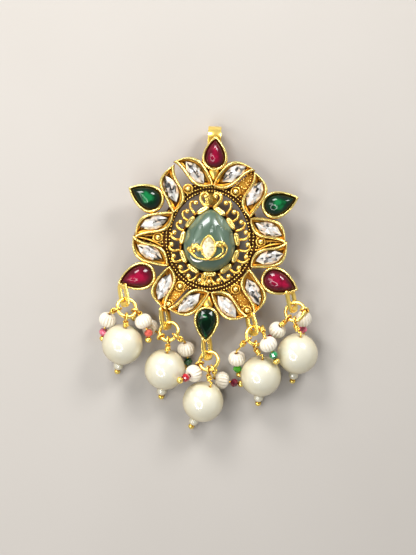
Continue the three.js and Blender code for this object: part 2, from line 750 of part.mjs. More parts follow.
// A melon bead along Y, drilled through.
function flutedGeometry() {
  const { radius, halfLength, bore, flutes, depth } = FLUTED;
  const profile = [
    { radius: bore, y: -halfLength, fluted: 0 },
    { radius: 0.62 * radius, y: -halfLength, fluted: 0 },
    { radius, y: -0.45 * halfLength, fluted: depth },
    { radius, y: 0.45 * halfLength, fluted: depth },
    { radius: 0.62 * radius, y: halfLength, fluted: 0 },
    { radius: bore, y: halfLength, fluted: 0 },
  ];
  return loft(profile.map((row) => Array.from({ length: 2 * flutes }, (_, side) => {
    const angle = (Math.PI * side) / flutes;
    const reach = row.radius * (side % 2 === 0 ? 1 : 1 - row.fluted);
    return new THREE.Vector3(reach * Math.cos(angle), row.y, reach * Math.sin(angle));
  })), true);
}

// ---- the brooch ----

const brooch = new THREE.Group();
brooch.position.set(FLOWER_X, FLOWER_Y, 0);

function place(name, geometry, material, position = new THREE.Vector3()) {
  const mesh = new THREE.Mesh(geometry, material);
  mesh.name = name;
  mesh.position.copy(position);
  brooch.add(mesh);
  return mesh;
}

function turnAlong(mesh, axis) {
  mesh.quaternion.setFromUnitVectors(new THREE.Vector3(0, 1, 0), axis);
}

place('frame', frameGeometry(), METALS.antiqueGold);
place('centre_stone', centreStoneGeometry(), STONES.jade);
place('lotus_inlay', lotusGeometry(), METALS.brightGold);

const lotusCrystal = crystalGeometry(LOTUS_CRYSTAL.length, LOTUS_CRYSTAL.width, LOTUS_CRYSTAL.height);
const lotusSeat = new THREE.Vector3(LOTUS.x, LOTUS.y, CENTRE_TOP_Z + LOTUS.seat);
place('lotus_stone', lotusCrystal, STONES.crystal, lotusSeat).rotation.z = Math.PI / 2;

const crystal = crystalGeometry(CRYSTAL.length, CRYSTAL.width, CRYSTAL.height);
LEAVES.forEach((leaf) => {
  const [x, y, heading] = leaf.stone;
  const position = new THREE.Vector3(x, y, POCKET_Z + STONE_GAP);
  const mesh = place(leaf.name.replace('_', '_stone_'), crystal, STONES.crystal, position);
  mesh.rotation.z = THREE.MathUtils.degToRad(heading);
});

PEARS.forEach((pear) => {
  const geometry = pearStoneGeometry(pear, pear.name === 'bottom');
  const position = new THREE.Vector3(pear.x, pear.y, POCKET_Z + STONE_GAP);
  const mesh = place(`pear_stone_${pear.name}`, geometry, STONES[pear.colour], position);
  mesh.rotation.z = THREE.MathUtils.degToRad(pear.angle);
});

DROPS.forEach((drop, index) => {
  const number = index + 1;
  const { middle, turn } = linkPose(number);
  const ring = new THREE.TorusGeometry(LINK.radius, LINK.wire, 5, 12);
  place(`jump_ring_${number}`, ring, METALS.brightGold, middle).rotation.copy(turn);

  const axis = pearlAxis(drop);
  const pearlCentre = new THREE.Vector3(...drop.pearl, PEARL_RADIUS);
  turnAlong(place(`pearl_${number}`, pearlGeometry(), STONES.pearl, pearlCentre), axis);

  const along = (distance) => pearlCentre.clone().addScaledVector(axis, distance);
  const seedAt = PEARL_RADIUS + SEED_RADIUS + SEED_GAP;
  const seed = { centre: along(seedAt), radius: SEED_RADIUS };
  const nearEnd = along(-PEARL_RADIUS - PIN_REACH);
  const pin = pinGeometry(loopPose(number, -90), 0, nearEnd, seed, along(seedAt + END_SPACING));
  place(`pearl_pin_${number}`, pin, METALS.brightGold);
});

STRANDS.forEach((strand) => {
  const fluted = vector(strand.fluted);
  const colourBead = vector(strand.bead);
  const axis = colourBead.clone().sub(fluted).normalize();
  turnAlong(place(`fluted_bead_${strand.drop}_${strand.side}`, flutedGeometry(), STONES.fluted, fluted), axis);

  const nearEnd = fluted.clone().addScaledVector(axis, -FLUTED.halfLength - PIN_REACH);
  const endCentre = vector(strand.end).sub(colourBead).setLength(END_SPACING).add(colourBead);
  const middle = { centre: colourBead, radius: COLOUR_BEAD_RADIUS };
  const loop = loopPose(strand.drop, strand.at);
  const pin = pinGeometry(loop, strand.leave, nearEnd, middle, endCentre);
  place(`strand_pin_${strand.drop}_${strand.side}`, pin, METALS.brightGold);
});

export default brooch;
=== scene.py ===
# %% [markdown]
# # A hair bun brooch, laid face up
#
# The brooch is an oval flower of cast gold bezels: twelve leaves set with clear navette stones and
# six pears set with red and green ones, round a pierced gallery that holds a carved jade teardrop.
# A flat hook behind slides into a bun, and five pearl drops swing from the lower edge.
# Most pieces are built here as mesh data, and Geometry Nodes grow the small beads and grains. Sizes are in
# millimetres, measured from the middle of the flower, because that is how a jeweller would draw it. One
# function turns those millimetres into the frame's metres.

# %% The fixed frame and the flower's middle
import math
import random

import bpy
import numpy as np
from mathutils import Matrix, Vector


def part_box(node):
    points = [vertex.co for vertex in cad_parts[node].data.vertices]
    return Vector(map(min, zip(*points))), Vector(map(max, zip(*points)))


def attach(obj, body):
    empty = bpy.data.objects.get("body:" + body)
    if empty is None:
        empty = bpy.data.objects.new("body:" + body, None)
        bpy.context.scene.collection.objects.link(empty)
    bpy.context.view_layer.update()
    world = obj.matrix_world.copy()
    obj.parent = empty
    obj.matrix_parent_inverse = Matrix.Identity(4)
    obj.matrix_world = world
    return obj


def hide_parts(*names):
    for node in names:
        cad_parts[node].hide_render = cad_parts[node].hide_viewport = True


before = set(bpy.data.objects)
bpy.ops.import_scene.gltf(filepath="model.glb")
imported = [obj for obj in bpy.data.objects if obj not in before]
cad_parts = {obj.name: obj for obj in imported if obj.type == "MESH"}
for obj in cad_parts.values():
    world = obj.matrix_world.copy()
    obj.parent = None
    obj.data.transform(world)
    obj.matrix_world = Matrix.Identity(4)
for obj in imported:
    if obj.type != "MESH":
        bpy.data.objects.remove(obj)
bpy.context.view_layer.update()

MM = 0.001
HOOK_TOP = 27.34
stone_low, stone_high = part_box("centre_stone")
_, frame_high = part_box("frame")
MIDDLE = np.array([(stone_low[0] + stone_high[0]) / 2, frame_high[1] - HOOK_TOP * MM, 0.0])


def metres(points):
    return np.asarray(points, dtype=float) * MM + MIDDLE


# %% [markdown]
# ## A shape is a heap of closed skins
#
# Every sub-part is one or more closed skins, such as a tube or a wall. A small class collects their
# corners and faces, and turns a skin inside out when its signed volume is negative, so that all the
# faces point outwards whichever way a loop happened to run.

# %% Collecting skins into a mesh


class Shape:
    """Closed skins in flower millimetres, gathered for one mesh."""

    def __init__(self):
        self.points = []
        self.faces = []
        self.marks = []
        self.count = 0

    def add(self, points, faces, mark=0.0):
        points = np.asarray(points, dtype=float)
        if signed_volume(points, faces) < 0:
            faces = [face[::-1] for face in faces]
        self.points.append(points)
        self.faces += [[corner + self.count for corner in face] for face in faces]
        self.marks += list(np.broadcast_to(mark, len(points)))
        self.count += len(points)
        return self


def signed_volume(points, faces):
    centre = points.mean(axis=0)
    first, second, third = [], [], []
    for face in faces:
        for corner in range(1, len(face) - 1):
            first.append(face[0])
            second.append(face[corner])
            third.append(face[corner + 1])
    a, b, c = (points[np.array(row)] - centre for row in (first, second, third))
    return float(np.einsum("ij,ij->i", a, np.cross(b, c)).sum())


def put(name, data):
    """Adds an object that holds the data to the scene."""
    obj = bpy.data.objects.new(name, data)
    bpy.context.scene.collection.objects.link(obj)
    return obj


def dress(obj, nodes):
    """Says what the piece rides on and which nodes it stands for, and hides those nodes."""
    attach(obj, "root")
    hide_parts(*nodes)
    print(f"{obj.name}: {len(obj.data.vertices)} vertices, stands for {', '.join(nodes)}")
    return obj


def piece(name, shape, material, nodes, crease=None, flat=False):
    """Makes the shape a mesh object; edges sharper than the crease, in degrees, stay sharp."""
    mesh = bpy.data.meshes.new(name)
    mesh.from_pydata(metres(np.concatenate(shape.points)).tolist(), [], shape.faces)
    mesh.materials.append(material)
    marks = mesh.attributes.new("mark", "FLOAT", "POINT")
    marks.data.foreach_set("value", np.asarray(shape.marks, dtype=np.float32))
    if not flat:
        mesh.shade_smooth()
    if crease:
        mesh.set_sharp_from_angle(angle=math.radians(crease))
    return dress(put(name, mesh), nodes)


def cast_piece(name, shape, gold, crease=None):
    """A piece of the one soldered casting, in one of its antique golds."""
    return piece(name, shape, gold, ["frame"], crease)


print("an empty shape holds", vars(Shape()))

# %% [markdown]
# ## Wires, bands and walls
#
# Most of the metal is drawn wire or thin strip bent to a route. A route is a few listed corners,
# rounded by a Catmull-Rom curve, with the wire's half thickness as a fourth number, so that a wire can
# swell and taper. A wall is different: it is one outline set in by a little more at each height.

# %% Directions, turns and rings


def unit(vector):
    return vector / np.linalg.norm(vector)


def full_turn(sides):
    """Equal angles all round, in radians."""
    return np.linspace(0, 2 * math.pi, sides, endpoint=False)


def turn(points, degrees, start=0, towards=1):
    """Turns rows of points from one axis towards another, where 0, 1 and 2 are x, y and z."""
    angle = math.radians(degrees)
    spin = np.eye(len(points[0]))
    spin[start, start] = spin[towards, towards] = math.cos(angle)
    spin[start, towards] = math.sin(angle)
    spin[towards, start] = -math.sin(angle)
    return points @ spin


# A little off the vertical, so that a wire standing straight up isn't parallel to it.
UP = np.array([0.13, 0.09, 0.987])


def axes_about(axis, reference=UP):
    """The axis as a unit, and two more units square to it and to each other."""
    axis = unit(np.asarray(axis, dtype=float))
    aside = unit(np.cross(axis, reference))
    return axis, aside, np.cross(axis, aside)


def hoop(angles, aside, third, reach=1.0):
    """A ring of points about an axis, from the two units square to it."""
    return np.outer(reach * np.cos(angles), aside) + np.outer(reach * np.sin(angles), third)


def at_height(outline, z):
    """Lifts a flat outline to a height."""
    return np.column_stack([outline, np.full(len(outline), z)])


print("a quarter turn takes x to", turn(np.array([[1.0, 0.0, 0.0]]), 90).round(3).tolist())

# %% Routes


def rounded(route, spans=6, closed=False):
    """A smooth route through the corners, with a few steps for each span."""
    corners = np.asarray(route, dtype=float)
    count = len(corners)
    last = count if closed else count - 1
    steps = []
    for span in range(last):
        picks = [span - 1, span, span + 1, span + 2]
        picks = [p % count if closed else min(max(p, 0), count - 1) for p in picks]
        p0, p1, p2, p3 = corners[picks]
        for t in np.linspace(0, 1, spans, endpoint=False):
            steps.append(0.5 * (2 * p1 + (p2 - p0) * t + (2 * p0 - 5 * p1 + 4 * p2 - p3) * t**2
                                + (3 * p1 - p0 - 3 * p2 + p3) * t**3))
    if not closed:
        steps.append(corners[-1])
    return np.array(steps)


print("a route through 3 corners is rounded in", len(rounded([(0, 0), (1, 2), (3, 3)])), "points")

# %% Sections, and skins along a route


def circle_section(sides):
    angles = full_turn(sides)
    return np.column_stack([np.cos(angles), np.sin(angles)])


def strip_section(half_width, half_thickness, corner):
    """A flat strip's section with rounded corners."""
    points = []
    for x, y, start in ((1, 1, 0), (-1, 1, 90), (-1, -1, 180), (1, -1, 270)):
        for onward in (0, 45, 90):
            angle = math.radians(start + onward)
            points.append((x * (half_width - corner) + corner * math.cos(angle),
                           y * (half_thickness - corner) + corner * math.sin(angle)))
    return np.array(points)


def rings_to_skin(rings, closed=False):
    """Joins equal rings into bands of faces, with a flat face at each open end."""
    sides = len(rings[0])
    count = len(rings)
    faces = []
    for band in range(count if closed else count - 1):
        low, high = band * sides, (band + 1) % count * sides
        for side in range(sides):
            after = (side + 1) % sides
            faces.append([low + side, low + after, high + after, high + side])
    if not closed:
        faces.append(list(range(sides))[::-1])
        faces.append([(count - 1) * sides + side for side in range(sides)])
    return np.concatenate(rings), faces


def sweep(route, section, closed=False, up=UP):
    """Carries a section along a route; a fourth column on the route scales the section."""
    places, scales = route[:, :3], route[:, 3] if route.shape[1] > 3 else np.ones(len(route))
    if closed:
        along = np.roll(places, -1, axis=0) - np.roll(places, 1, axis=0)
    else:
        along = np.gradient(places, axis=0)
    along /= np.linalg.norm(along, axis=1)[:, None]
    across = np.cross(along, up)
    across /= np.linalg.norm(across, axis=1)[:, None]
    over = np.cross(across, along)
    rings = [place + scale * (section[:, :1] * side + section[:, 1:] * rise)
             for place, scale, side, rise in zip(places, scales, across, over)]
    return rings_to_skin(rings, closed)


print("a strip's section has", len(strip_section(2, 1, 0.2)), "corners")

# %% Wires, rings of wire and balls


def wire(route, spans=6, sides=10, closed=False, up=UP):
    """A round wire with domed ends, its half thickness in the route's fourth column."""
    path = rounded(route, spans, closed)
    if not closed:
        path = with_domes(path)
    return sweep(path, circle_section(sides), closed, up)


DOME_STEPS = ((0.5, 0.85), (0.85, 0.5), (0.98, 0.12))


def with_domes(path):
    """Rounds both ends of a wire off, in a few steps of rise and width."""
    def dome(end, before):
        out = unit(end[:3] - before[:3])
        return [np.append(end[:3] + out * end[3] * rise, end[3] * width) for rise, width in DOME_STEPS]

    return np.array(dome(path[0], path[1])[::-1] + list(path) + dome(path[-1], path[-2]))


def ring_of_wire(places, half, sides=8, up=UP):
    """A closed ring of round wire, of one half thickness."""
    route = np.column_stack([places, np.full(len(places), half)])
    return sweep(route, circle_section(sides), closed=True, up=up)


POLE = 0.04
BALL_START = (0.3, 0.5, 0.81)


def globe(centre, radius, sides=20, levels=12, squash=1.0, axis=(0, 0, 1)):
    """A ball as rings about an axis from near one pole to the other, flattened along it by squash."""
    axis, aside, third = axes_about(axis, BALL_START)
    rings = []
    for level in np.linspace(POLE, math.pi - POLE, levels):
        ring = radius * math.sin(level) * hoop(full_turn(sides), aside, third)
        rings.append(np.asarray(centre) - axis * radius * squash * math.cos(level) + ring)
    return rings_to_skin(rings)


print("a straight test wire has", len(wire([(0, 0, 0, 1), (0, 9, 0, 1)])[0]), "corners")

# %% [markdown]
# ## Old gold
#
# Antique plate is bright where fingers rub it and brown-black where the dark wash stays. The shader
# works from two things that are true of the real finish: how high a spot stands above the back, and how
# shut in it is, which an ambient occlusion node measures. Both drive one colour ramp, with a patchy noise
# to break it up. Height is read in object coordinates, since every piece lies at the origin.

# %% Short words for a node tree


class Wiring:
    """A node tree in the making."""

    def __init__(self, tree):
        self.nodes, self.links = tree.nodes, tree.links

    def feed(self, socket, value):
        """Sets a socket to a constant, or links it to another node's output."""
        if isinstance(value, bpy.types.NodeSocket):
            self.links.new(value, socket)
        else:
            socket.default_value = value

    def node(self, kind, inputs=None, **settings):
        """Adds a node with its settings, then feeds its sockets by name or number."""
        node = self.nodes.new(kind)
        for name, value in settings.items():
            setattr(node, name, value)
        for name, value in (inputs or {}).items():
            self.feed(node.inputs[name], value)
        return node

    def calc(self, operation, *values, clamp=False):
        node = self.node("ShaderNodeMath", operation=operation, use_clamp=clamp)
        for socket, value in zip(node.inputs, values):
            self.feed(socket, value)
        return node.outputs["Value"]

    def ramp(self, stops, source):
        """A colour ramp through stops of position and colour."""
        node = self.node("ShaderNodeValToRGB", {"Fac": source})
        row = node.color_ramp
        while len(row.elements) < len(stops):
            row.elements.new(0.5)
        for element, (position, colour) in zip(row.elements, stops):
            element.position = position
            element.color = (*colour, 1)
        return node.outputs["Color"]


print("words for a node tree:", [word for word in vars(Wiring) if not word.startswith("_")])

# %% Short words for a finish


class Finish(Wiring):
    """A material in the making; its shader is fed last."""

    def __init__(self, name):
        self.material = bpy.data.materials.new(name)
        self.material.use_nodes = True
        super().__init__(self.material.node_tree)

    def coords(self):
        return self.node("ShaderNodeTexCoord").outputs["Object"]

    def attribute(self, name, output="Fac"):
        """What a piece's own mesh keeps under a name."""
        return self.node("ShaderNodeAttribute", attribute_name=name).outputs[output]

    def noise(self, coords, per_mm, detail=3.0):
        sizes = {"Scale": per_mm / MM, "Detail": detail, "Vector": coords}
        return self.node("ShaderNodeTexNoise", sizes).outputs["Fac"]

    def cloud(self, coords, per_mm, detail, spread):
        """Noise spread evenly about nought."""
        return self.calc("MULTIPLY_ADD", self.noise(coords, per_mm, detail), spread, -spread / 2)

    def open_air(self, reach_mm, samples):
        """1 where nothing stands within reach, and less the more a spot is shut in."""
        reach = {"Distance": reach_mm * MM}
        return self.node("ShaderNodeAmbientOcclusion", reach, samples=samples).outputs["AO"]

    def bumps(self, height, depth_mm):
        relief = {"Strength": 1.0, "Distance": depth_mm * MM, "Height": height}
        return self.node("ShaderNodeBump", relief).outputs["Normal"]

    def surface(self, values):
        """Feeds the shader and hands over the finished material."""
        for name, value in values.items():
            self.feed(self.nodes["Principled BSDF"].inputs[name], value)
        return self.material


print("more words for a finish:", [word for word in vars(Finish) if not word.startswith("_")])

# %% Antique and bright gold

GOLD_STOPS = [
    (0.0, (0.020, 0.007, 0.002)),
    (0.26, (0.12, 0.038, 0.005)),
    (0.48, (0.58, 0.24, 0.022)),
    (0.70, (0.96, 0.58, 0.085)),
    (1.0, (1.0, 0.84, 0.30)),
]
BRIGHT_STOPS = [
    (0.0, (0.10, 0.03, 0.003)),
    (0.4, (0.72, 0.30, 0.02)),
    (0.7, (1.0, 0.60, 0.07)),
    (1.0, (1.0, 0.78, 0.22)),
]
# How much of the wear comes from openness, from height between these two and from chance patches.
WEAR = {"open": 0.75, "high": 0.46, "patches": 0.36, "low_z": 6.5, "high_z": 7.9}


def antique_gold(name, wash):
    """Old gold; the wash shifts it from dark, well below nought, to rubbed bright."""
    finish = Finish(name)
    coords = finish.coords()
    split = finish.node("ShaderNodeSeparateXYZ", {"Vector": coords})
    height = finish.node("ShaderNodeMapRange", {
        "From Min": WEAR["low_z"] * MM, "From Max": WEAR["high_z"] * MM, "Value": split.outputs["Z"]})
    open_air = finish.open_air(1.0, samples=6)
    patches = finish.noise(coords, 0.9)
    grain = finish.noise(coords, 5.0)
    openness = finish.calc("MULTIPLY", open_air, WEAR["open"])
    lifted = finish.calc("MULTIPLY", height.outputs["Result"], WEAR["high"])
    tint = finish.calc("ADD", openness, lifted)
    chance = finish.calc("MULTIPLY_ADD", patches, WEAR["patches"], wash - WEAR["patches"] / 2)
    lightness = finish.calc("ADD", tint, chance, clamp=True)
    colour = finish.ramp(GOLD_STOPS, lightness)
    rough = finish.node("ShaderNodeMapRange", {"From Min": 0.2, "To Min": 0.5, "To Max": 0.2, "Value": lightness})
    return finish.surface({"Base Color": colour, "Roughness": rough.outputs["Result"], "Metallic": 0.88,
                           "Normal": finish.bumps(grain, 0.02)})


def bright_gold(name, shadow_reach):
    """Polished gold with painted shade: browner where something stands within the reach of a shadow."""
    finish = Finish(name)
    coords = finish.coords()
    patches = finish.noise(coords, 0.7)
    open_air = finish.open_air(shadow_reach, samples=4)
    chance = finish.calc("MULTIPLY_ADD", patches, 0.3, -0.1)
    # Painted shade: the ramp runs browner where the occlusion finds something within the shadow reach.
    lightness = finish.calc("MULTIPLY_ADD", open_air, 0.9, chance, clamp=True)
    return finish.surface({"Base Color": finish.ramp(BRIGHT_STOPS, lightness), "Metallic": 0.85,
                           "Roughness": 0.24, "Normal": finish.bumps(finish.noise(coords, 1.5), 0.006)})


OLD_GOLD = antique_gold("antique_gold", -0.34)
RIM_GOLD = antique_gold("rubbed_gold", -0.22)
WASHED_GOLD = antique_gold("washed_gold", -0.6)
AMBER_GOLD = antique_gold("amber_gold", 0.0)
# Both bright golds carry painted shade: NEW_GOLD browns in tight creases, and HOOK_GOLD's long reach browns
# the hook's leg in the shade under the flower.
NEW_GOLD = bright_gold("bright_gold", 0.6)
HOOK_GOLD = bright_gold("shaded_gold", 5.0)
print("golds:", [gold.name for gold in (OLD_GOLD, RIM_GOLD, WASHED_GOLD, AMBER_GOLD, NEW_GOLD, HOOK_GOLD)])

# %% [markdown]
# ## The bezels
#
# A leaf bezel is a strip of gold bent to a leaf with a hooked tip and soldered to a floor. Its outline
# follows a bent middle line with a half width that fades to nothing at both ends. Setting the outline in
# is done by taking the wall from that half width, so the inner outline keeps its points, where an even
# offset would tangle. A pear bezel is simpler: its inner outlines are the same pear, made smaller.

# %% Sizes of the bezels

BACK_Z = 5.4
WEB_Z = 6.85
RIM_Z = 8.0
LEAF = {"half_width": 2.6, "base_round": 0.85, "tip_sharp": 1.0, "curl": 0.9, "curl_power": 8,
        "stations": 30, "samples": 1001}
# Each leaf: base and tip, the side its hook leaves, sway in degrees, bow, and its stone's place and heading.
LEAVES = [
    {"name": "crown_1", "base": (0.2, 12.6), "tip": (9.9, 17.5), "side": 1, "sway": 14, "bow": 0.85,
     "stone": (5.2, 15.8, 37)},
    {"name": "crown_2", "base": (0.9, -13.1), "tip": (9.7, -19.0), "side": -1, "sway": 14, "bow": 0.4,
     "stone": (4.9, -16.3, -48)},
    {"name": "crown_3", "base": (0.6, -13.0), "tip": (-9.1, -18.1), "side": 1, "sway": 14, "bow": 0.5,
     "stone": (-4.3, -15.8, 43)},
    {"name": "crown_4", "base": (0.2, 12.8), "tip": (-9.2, 18.7), "side": -1, "sway": 14, "bow": 0.4,
     "stone": (-4.3, 15.6, -48)},
    {"name": "shoulder_1", "base": (9.4, 5.4), "tip": (10.6, 16.5), "side": -1, "sway": 22, "bow": 0.5,
     "stone": (10.3, 11.2, 61)},
    {"name": "shoulder_2", "base": (9.9, -7.0), "tip": (12.1, -17.8), "side": 1, "sway": 22, "bow": 0.3,
     "stone": (11.1, -12.5, -62)},
    {"name": "shoulder_3", "base": (-9.4, -7.2), "tip": (-10.3, -17.9), "side": -1, "sway": 18, "bow": 1.0,
     "stone": (-10.4, -12.2, 67)},
    {"name": "shoulder_4", "base": (-9.0, 5.6), "tip": (-10.1, 17.3), "side": 1, "sway": 22, "bow": 0.2,
     "stone": (-9.9, 11.4, -65)},
    {"name": "flank_1", "base": (9.5, 5.2), "tip": (18.7, 0.0), "side": 1, "sway": 18, "bow": 0.25,
     "stone": (14.1, 2.8, -22)},
    {"name": "flank_2", "base": (10.1, -6.5), "tip": (19.1, -0.5), "side": -1, "sway": 18, "bow": 0.55,
     "stone": (14.6, -4.0, 16)},
    {"name": "flank_3", "base": (-9.8, -7.2), "tip": (-19.0, -0.8), "side": 1, "sway": 18, "bow": 0.3,
     "stone": (-14.3, -4.0, -27)},
    {"name": "flank_4", "base": (-9.0, 5.8), "tip": (-18.4, -0.4), "side": -1, "sway": 18, "bow": 0.25,
     "stone": (-13.6, 3.1, 20)},
]
PEARS = [
    {"name": "top", "at": (0.3, 20.4), "angle": 91, "length": 8.4, "width": 6.2, "stone": "ruby"},
    {"name": "upper_right", "at": (16.6, 9.1), "angle": 21, "length": 9.3, "width": 6.6, "stone": "emerald"},
    {"name": "lower_right", "at": (17.4, -9.9), "angle": -19, "length": 9.5, "width": 6.7, "stone": "ruby"},
    {"name": "bottom", "at": (0.15, -20.8), "angle": -90, "length": 8.8, "width": 6.2, "stone": "emerald"},
    {"name": "lower_left", "at": (-17.2, -10.3), "angle": -160, "length": 9.5, "width": 6.8, "stone": "ruby"},
    {"name": "upper_left", "at": (-15.9, 9.3), "angle": 155, "length": 9.3, "width": 6.8, "stone": "emerald"},
]
PEAR = {"taper": 0.8, "sides": 72}

# The wall from its foot outside, over the rounded rim, to the floor inside: (inset, height).
RIM = [
    (0.35, BACK_Z), (0.08, 5.45), (0.0, 5.7), (0.0, 7.3), (0.04, 7.6), (0.14, 7.84), (0.28, 7.97),
    (0.4, RIM_Z), (0.52, 7.96), (0.64, 7.82), (0.73, 7.6),
]
LEAF_PROFILE = RIM + [(0.8, 7.35), (0.92, 7.2), (1.15, 7.1), (1.35, 6.9), (1.45, 6.65)]
PEAR_PROFILE = RIM + [(0.77, 7.3), (0.8, 6.9), (0.95, 6.7), (1.3, 6.65)]
print(len(LEAVES), "leaves and", len(PEARS), "pears, with walls", round(RIM_Z - BACK_Z, 2), "mm high")

# %% Outlines of leaves and pears


def leaf_half(part):
    """Half the leaf's width at a part of its length, 0 at its base and 1 at its tip."""
    base, tip = LEAF["base_round"], LEAF["tip_sharp"]
    widest = (base / (base + tip)) ** base * (tip / (base + tip)) ** tip
    return LEAF["half_width"] * part**base * (1 - part) ** tip / widest


def leaf_outline(leaf, inset):
    """The leaf's outline at an inset: down one side from base to tip, and back along the other."""
    base, tip = np.array(leaf["base"]), np.array(leaf["tip"])
    length = np.linalg.norm(tip - base)
    ahead = (tip - base) / length
    aside = np.array([-ahead[1], ahead[0]])
    parts = np.linspace(0, 1, LEAF["samples"])
    roomy = parts[leaf_half(parts) >= inset]
    crowd = (1 - np.cos(np.linspace(0, math.pi, LEAF["stations"]))) / 2
    part = roomy[0] + (roomy[-1] - roomy[0]) * crowd
    half = np.maximum(leaf_half(part) - inset, 0)
    half[[0, -1]] = 0
    wave = length / (2 * math.pi) * math.tan(math.radians(leaf["sway"]))
    bend = leaf["bow"] * np.sin(math.pi * part) - wave * np.sin(2 * math.pi * part)
    sway = leaf["side"] * (bend - LEAF["curl"] * part ** LEAF["curl_power"])
    sides = [base + np.outer(part * length, ahead) + np.outer(sway + way * half, aside) for way in (1, -1)]
    return np.concatenate([sides[0], sides[1][-2:0:-1]])


def pear_points(pear, inset, sides):
    """A pear's outline with its tip along x, smaller by the inset all round."""
    angles = full_turn(sides)
    across = np.sin(angles) * np.sin(angles / 2) ** PEAR["taper"]
    length, width = pear["length"] - 2 * inset, pear["width"] - 2 * inset
    return np.column_stack([np.cos(angles) * length / 2, across / across.max() * width / 2])


def pear_outline(pear, inset):
    return turn(pear_points(pear, inset, PEAR["sides"]), pear["angle"]) + pear["at"]


def paired_cap(first, count, flip):
    """Closes a two-sided outline with a row of faces from one side to the other."""
    faces = []
    for step in range(count // 2):
        ring = [step, step + 1, (count - step - 1) % count, (count - step) % count]
        corners = list(dict.fromkeys(first + corner for corner in ring))
        faces.append(corners[::-1] if flip else corners)
    return faces


def walled(outline_at, profile):
    """Skins a wall through an outline's insets, closed below and inside by flat floors."""
    points, faces = rings_to_skin([at_height(outline_at(inset), z) for inset, z in profile])
    sides = len(points) // len(profile)
    floors = paired_cap(0, sides, True) + paired_cap(len(points) - sides, sides, False)
    return points, faces[:-2] + floors


print("outlines of", len(leaf_outline(LEAVES[0], 0)), "and", len(pear_outline(PEARS[0], 0)), "corners")

# %% Leaf and pear bezels

for name, settings, outline, profile in (("leaf_bezels", LEAVES, leaf_outline, LEAF_PROFILE),
                                         ("pear_bezels", PEARS, pear_outline, PEAR_PROFILE)):
    bezels = Shape()
    for setting in settings:
        bezels.add(*walled(lambda inset: outline(setting, inset), profile))
    cast_piece(name, bezels, RIM_GOLD, crease=50)

# %% [markdown]
# ## The plate, the beaded wires and the grains
#
# Between the bezels and the gallery runs an oval plate under a dark wash. Three rows of beaded wire lie on
# it, and the goldsmith has filled the corners with tiny melted grains. Geometry Nodes set a bead at each
# place of a row that no bezel covers, and a second tree scatters the grains over the corner plates with a
# fixed seed.

# %% Oval plate and corner plates

PLATE_OUTER = (11.9, 13.7)
PLATE_INNER = (9.35, 11.05)
OVAL_SIDES = 96
CORNER_Z = WEB_Z + 0.06
CORNERS = [
    [(4.6, 12.0), (9.5, 17.0), (10.5, 16.0), (10.0, 7.0)],
    [(10.4, 4.6), (18.3, 0.2), (18.6, -0.7), (10.4, -5.0)],
    [(4.6, -12.0), (9.4, -18.5), (11.8, -17.4), (10.4, -8.0)],
    [(-4.6, -12.0), (-9.0, -17.7), (-10.2, -17.5), (-10.0, -8.0)],
    [(-10.4, 4.6), (-18.2, -0.2), (-18.6, -0.9), (-10.4, -5.4)],
    [(-3.2, 16.2), (3.2, 16.2), (0.2, 13.0)],
    [(-3.2, -16.2), (3.2, -16.2), (0.6, -13.2)],
]
CORNER_GOLDS = [OLD_GOLD, WASHED_GOLD, OLD_GOLD, OLD_GOLD, WASHED_GOLD, OLD_GOLD, OLD_GOLD]


def oval(half, sides=OVAL_SIDES, z=0.0):
    return at_height(circle_section(sides) * half, z)


plate = rings_to_skin([oval(PLATE_INNER, z=BACK_Z), oval(PLATE_OUTER, z=BACK_Z),
                       oval(PLATE_OUTER, z=WEB_Z), oval(PLATE_INNER, z=WEB_Z)], closed=True)
cast_piece("oval_plate", Shape().add(*plate), WASHED_GOLD, crease=40)

for number, (corner, gold) in enumerate(zip(CORNERS, CORNER_GOLDS), start=1):
    slab = rings_to_skin([at_height(corner, z) for z in (BACK_Z, CORNER_Z)])
    cast_piece(f"corner_plate_{number}", Shape().add(*slab), gold, crease=40)

# %% Geometry Nodes: a tree builder and the two trees


def new_tree(name, sizes):
    """A Geometry Nodes tree with named inputs after its geometry, its wiring and those inputs."""
    tree = bpy.data.node_groups.new(name, "GeometryNodeTree")
    tree.interface.new_socket("Geometry", in_out="INPUT", socket_type="NodeSocketGeometry")
    for label, kind, value in sizes:
        socket = tree.interface.new_socket(label, in_out="INPUT", socket_type=kind)
        socket.default_value = value
    tree.interface.new_socket("Geometry", in_out="OUTPUT", socket_type="NodeSocketGeometry")
    wiring = Wiring(tree)
    return tree, wiring, wiring.node("NodeGroupInput").outputs


def balls_on(wiring, points, radius, gold):
    """Ends a tree with a smooth ball at each point, made real and given its gold."""
    ball = wiring.node("GeometryNodeMeshIcoSphere", {"Radius": 1.0, "Subdivisions": 2})
    copies = wiring.node("GeometryNodeInstanceOnPoints", {
        "Points": points, "Instance": ball.outputs["Mesh"], "Scale": radius})
    real = wiring.node("GeometryNodeRealizeInstances", {0: copies.outputs["Instances"]})
    smooth = wiring.node("GeometryNodeSetShadeSmooth", {0: real.outputs[0]})
    golden = wiring.node("GeometryNodeSetMaterial", {0: smooth.outputs[0], "Material": gold})
    wiring.node("NodeGroupOutput", {0: golden.outputs[0]})


def bead_tree(gold):
    """One round bead at each corner of a mesh, as on a beaded wire."""
    tree, wiring, inputs = new_tree("beaded_wire", [("Radius", "NodeSocketFloat", 0.2 * MM)])
    balls_on(wiring, inputs["Geometry"], inputs["Radius"], gold)
    return tree


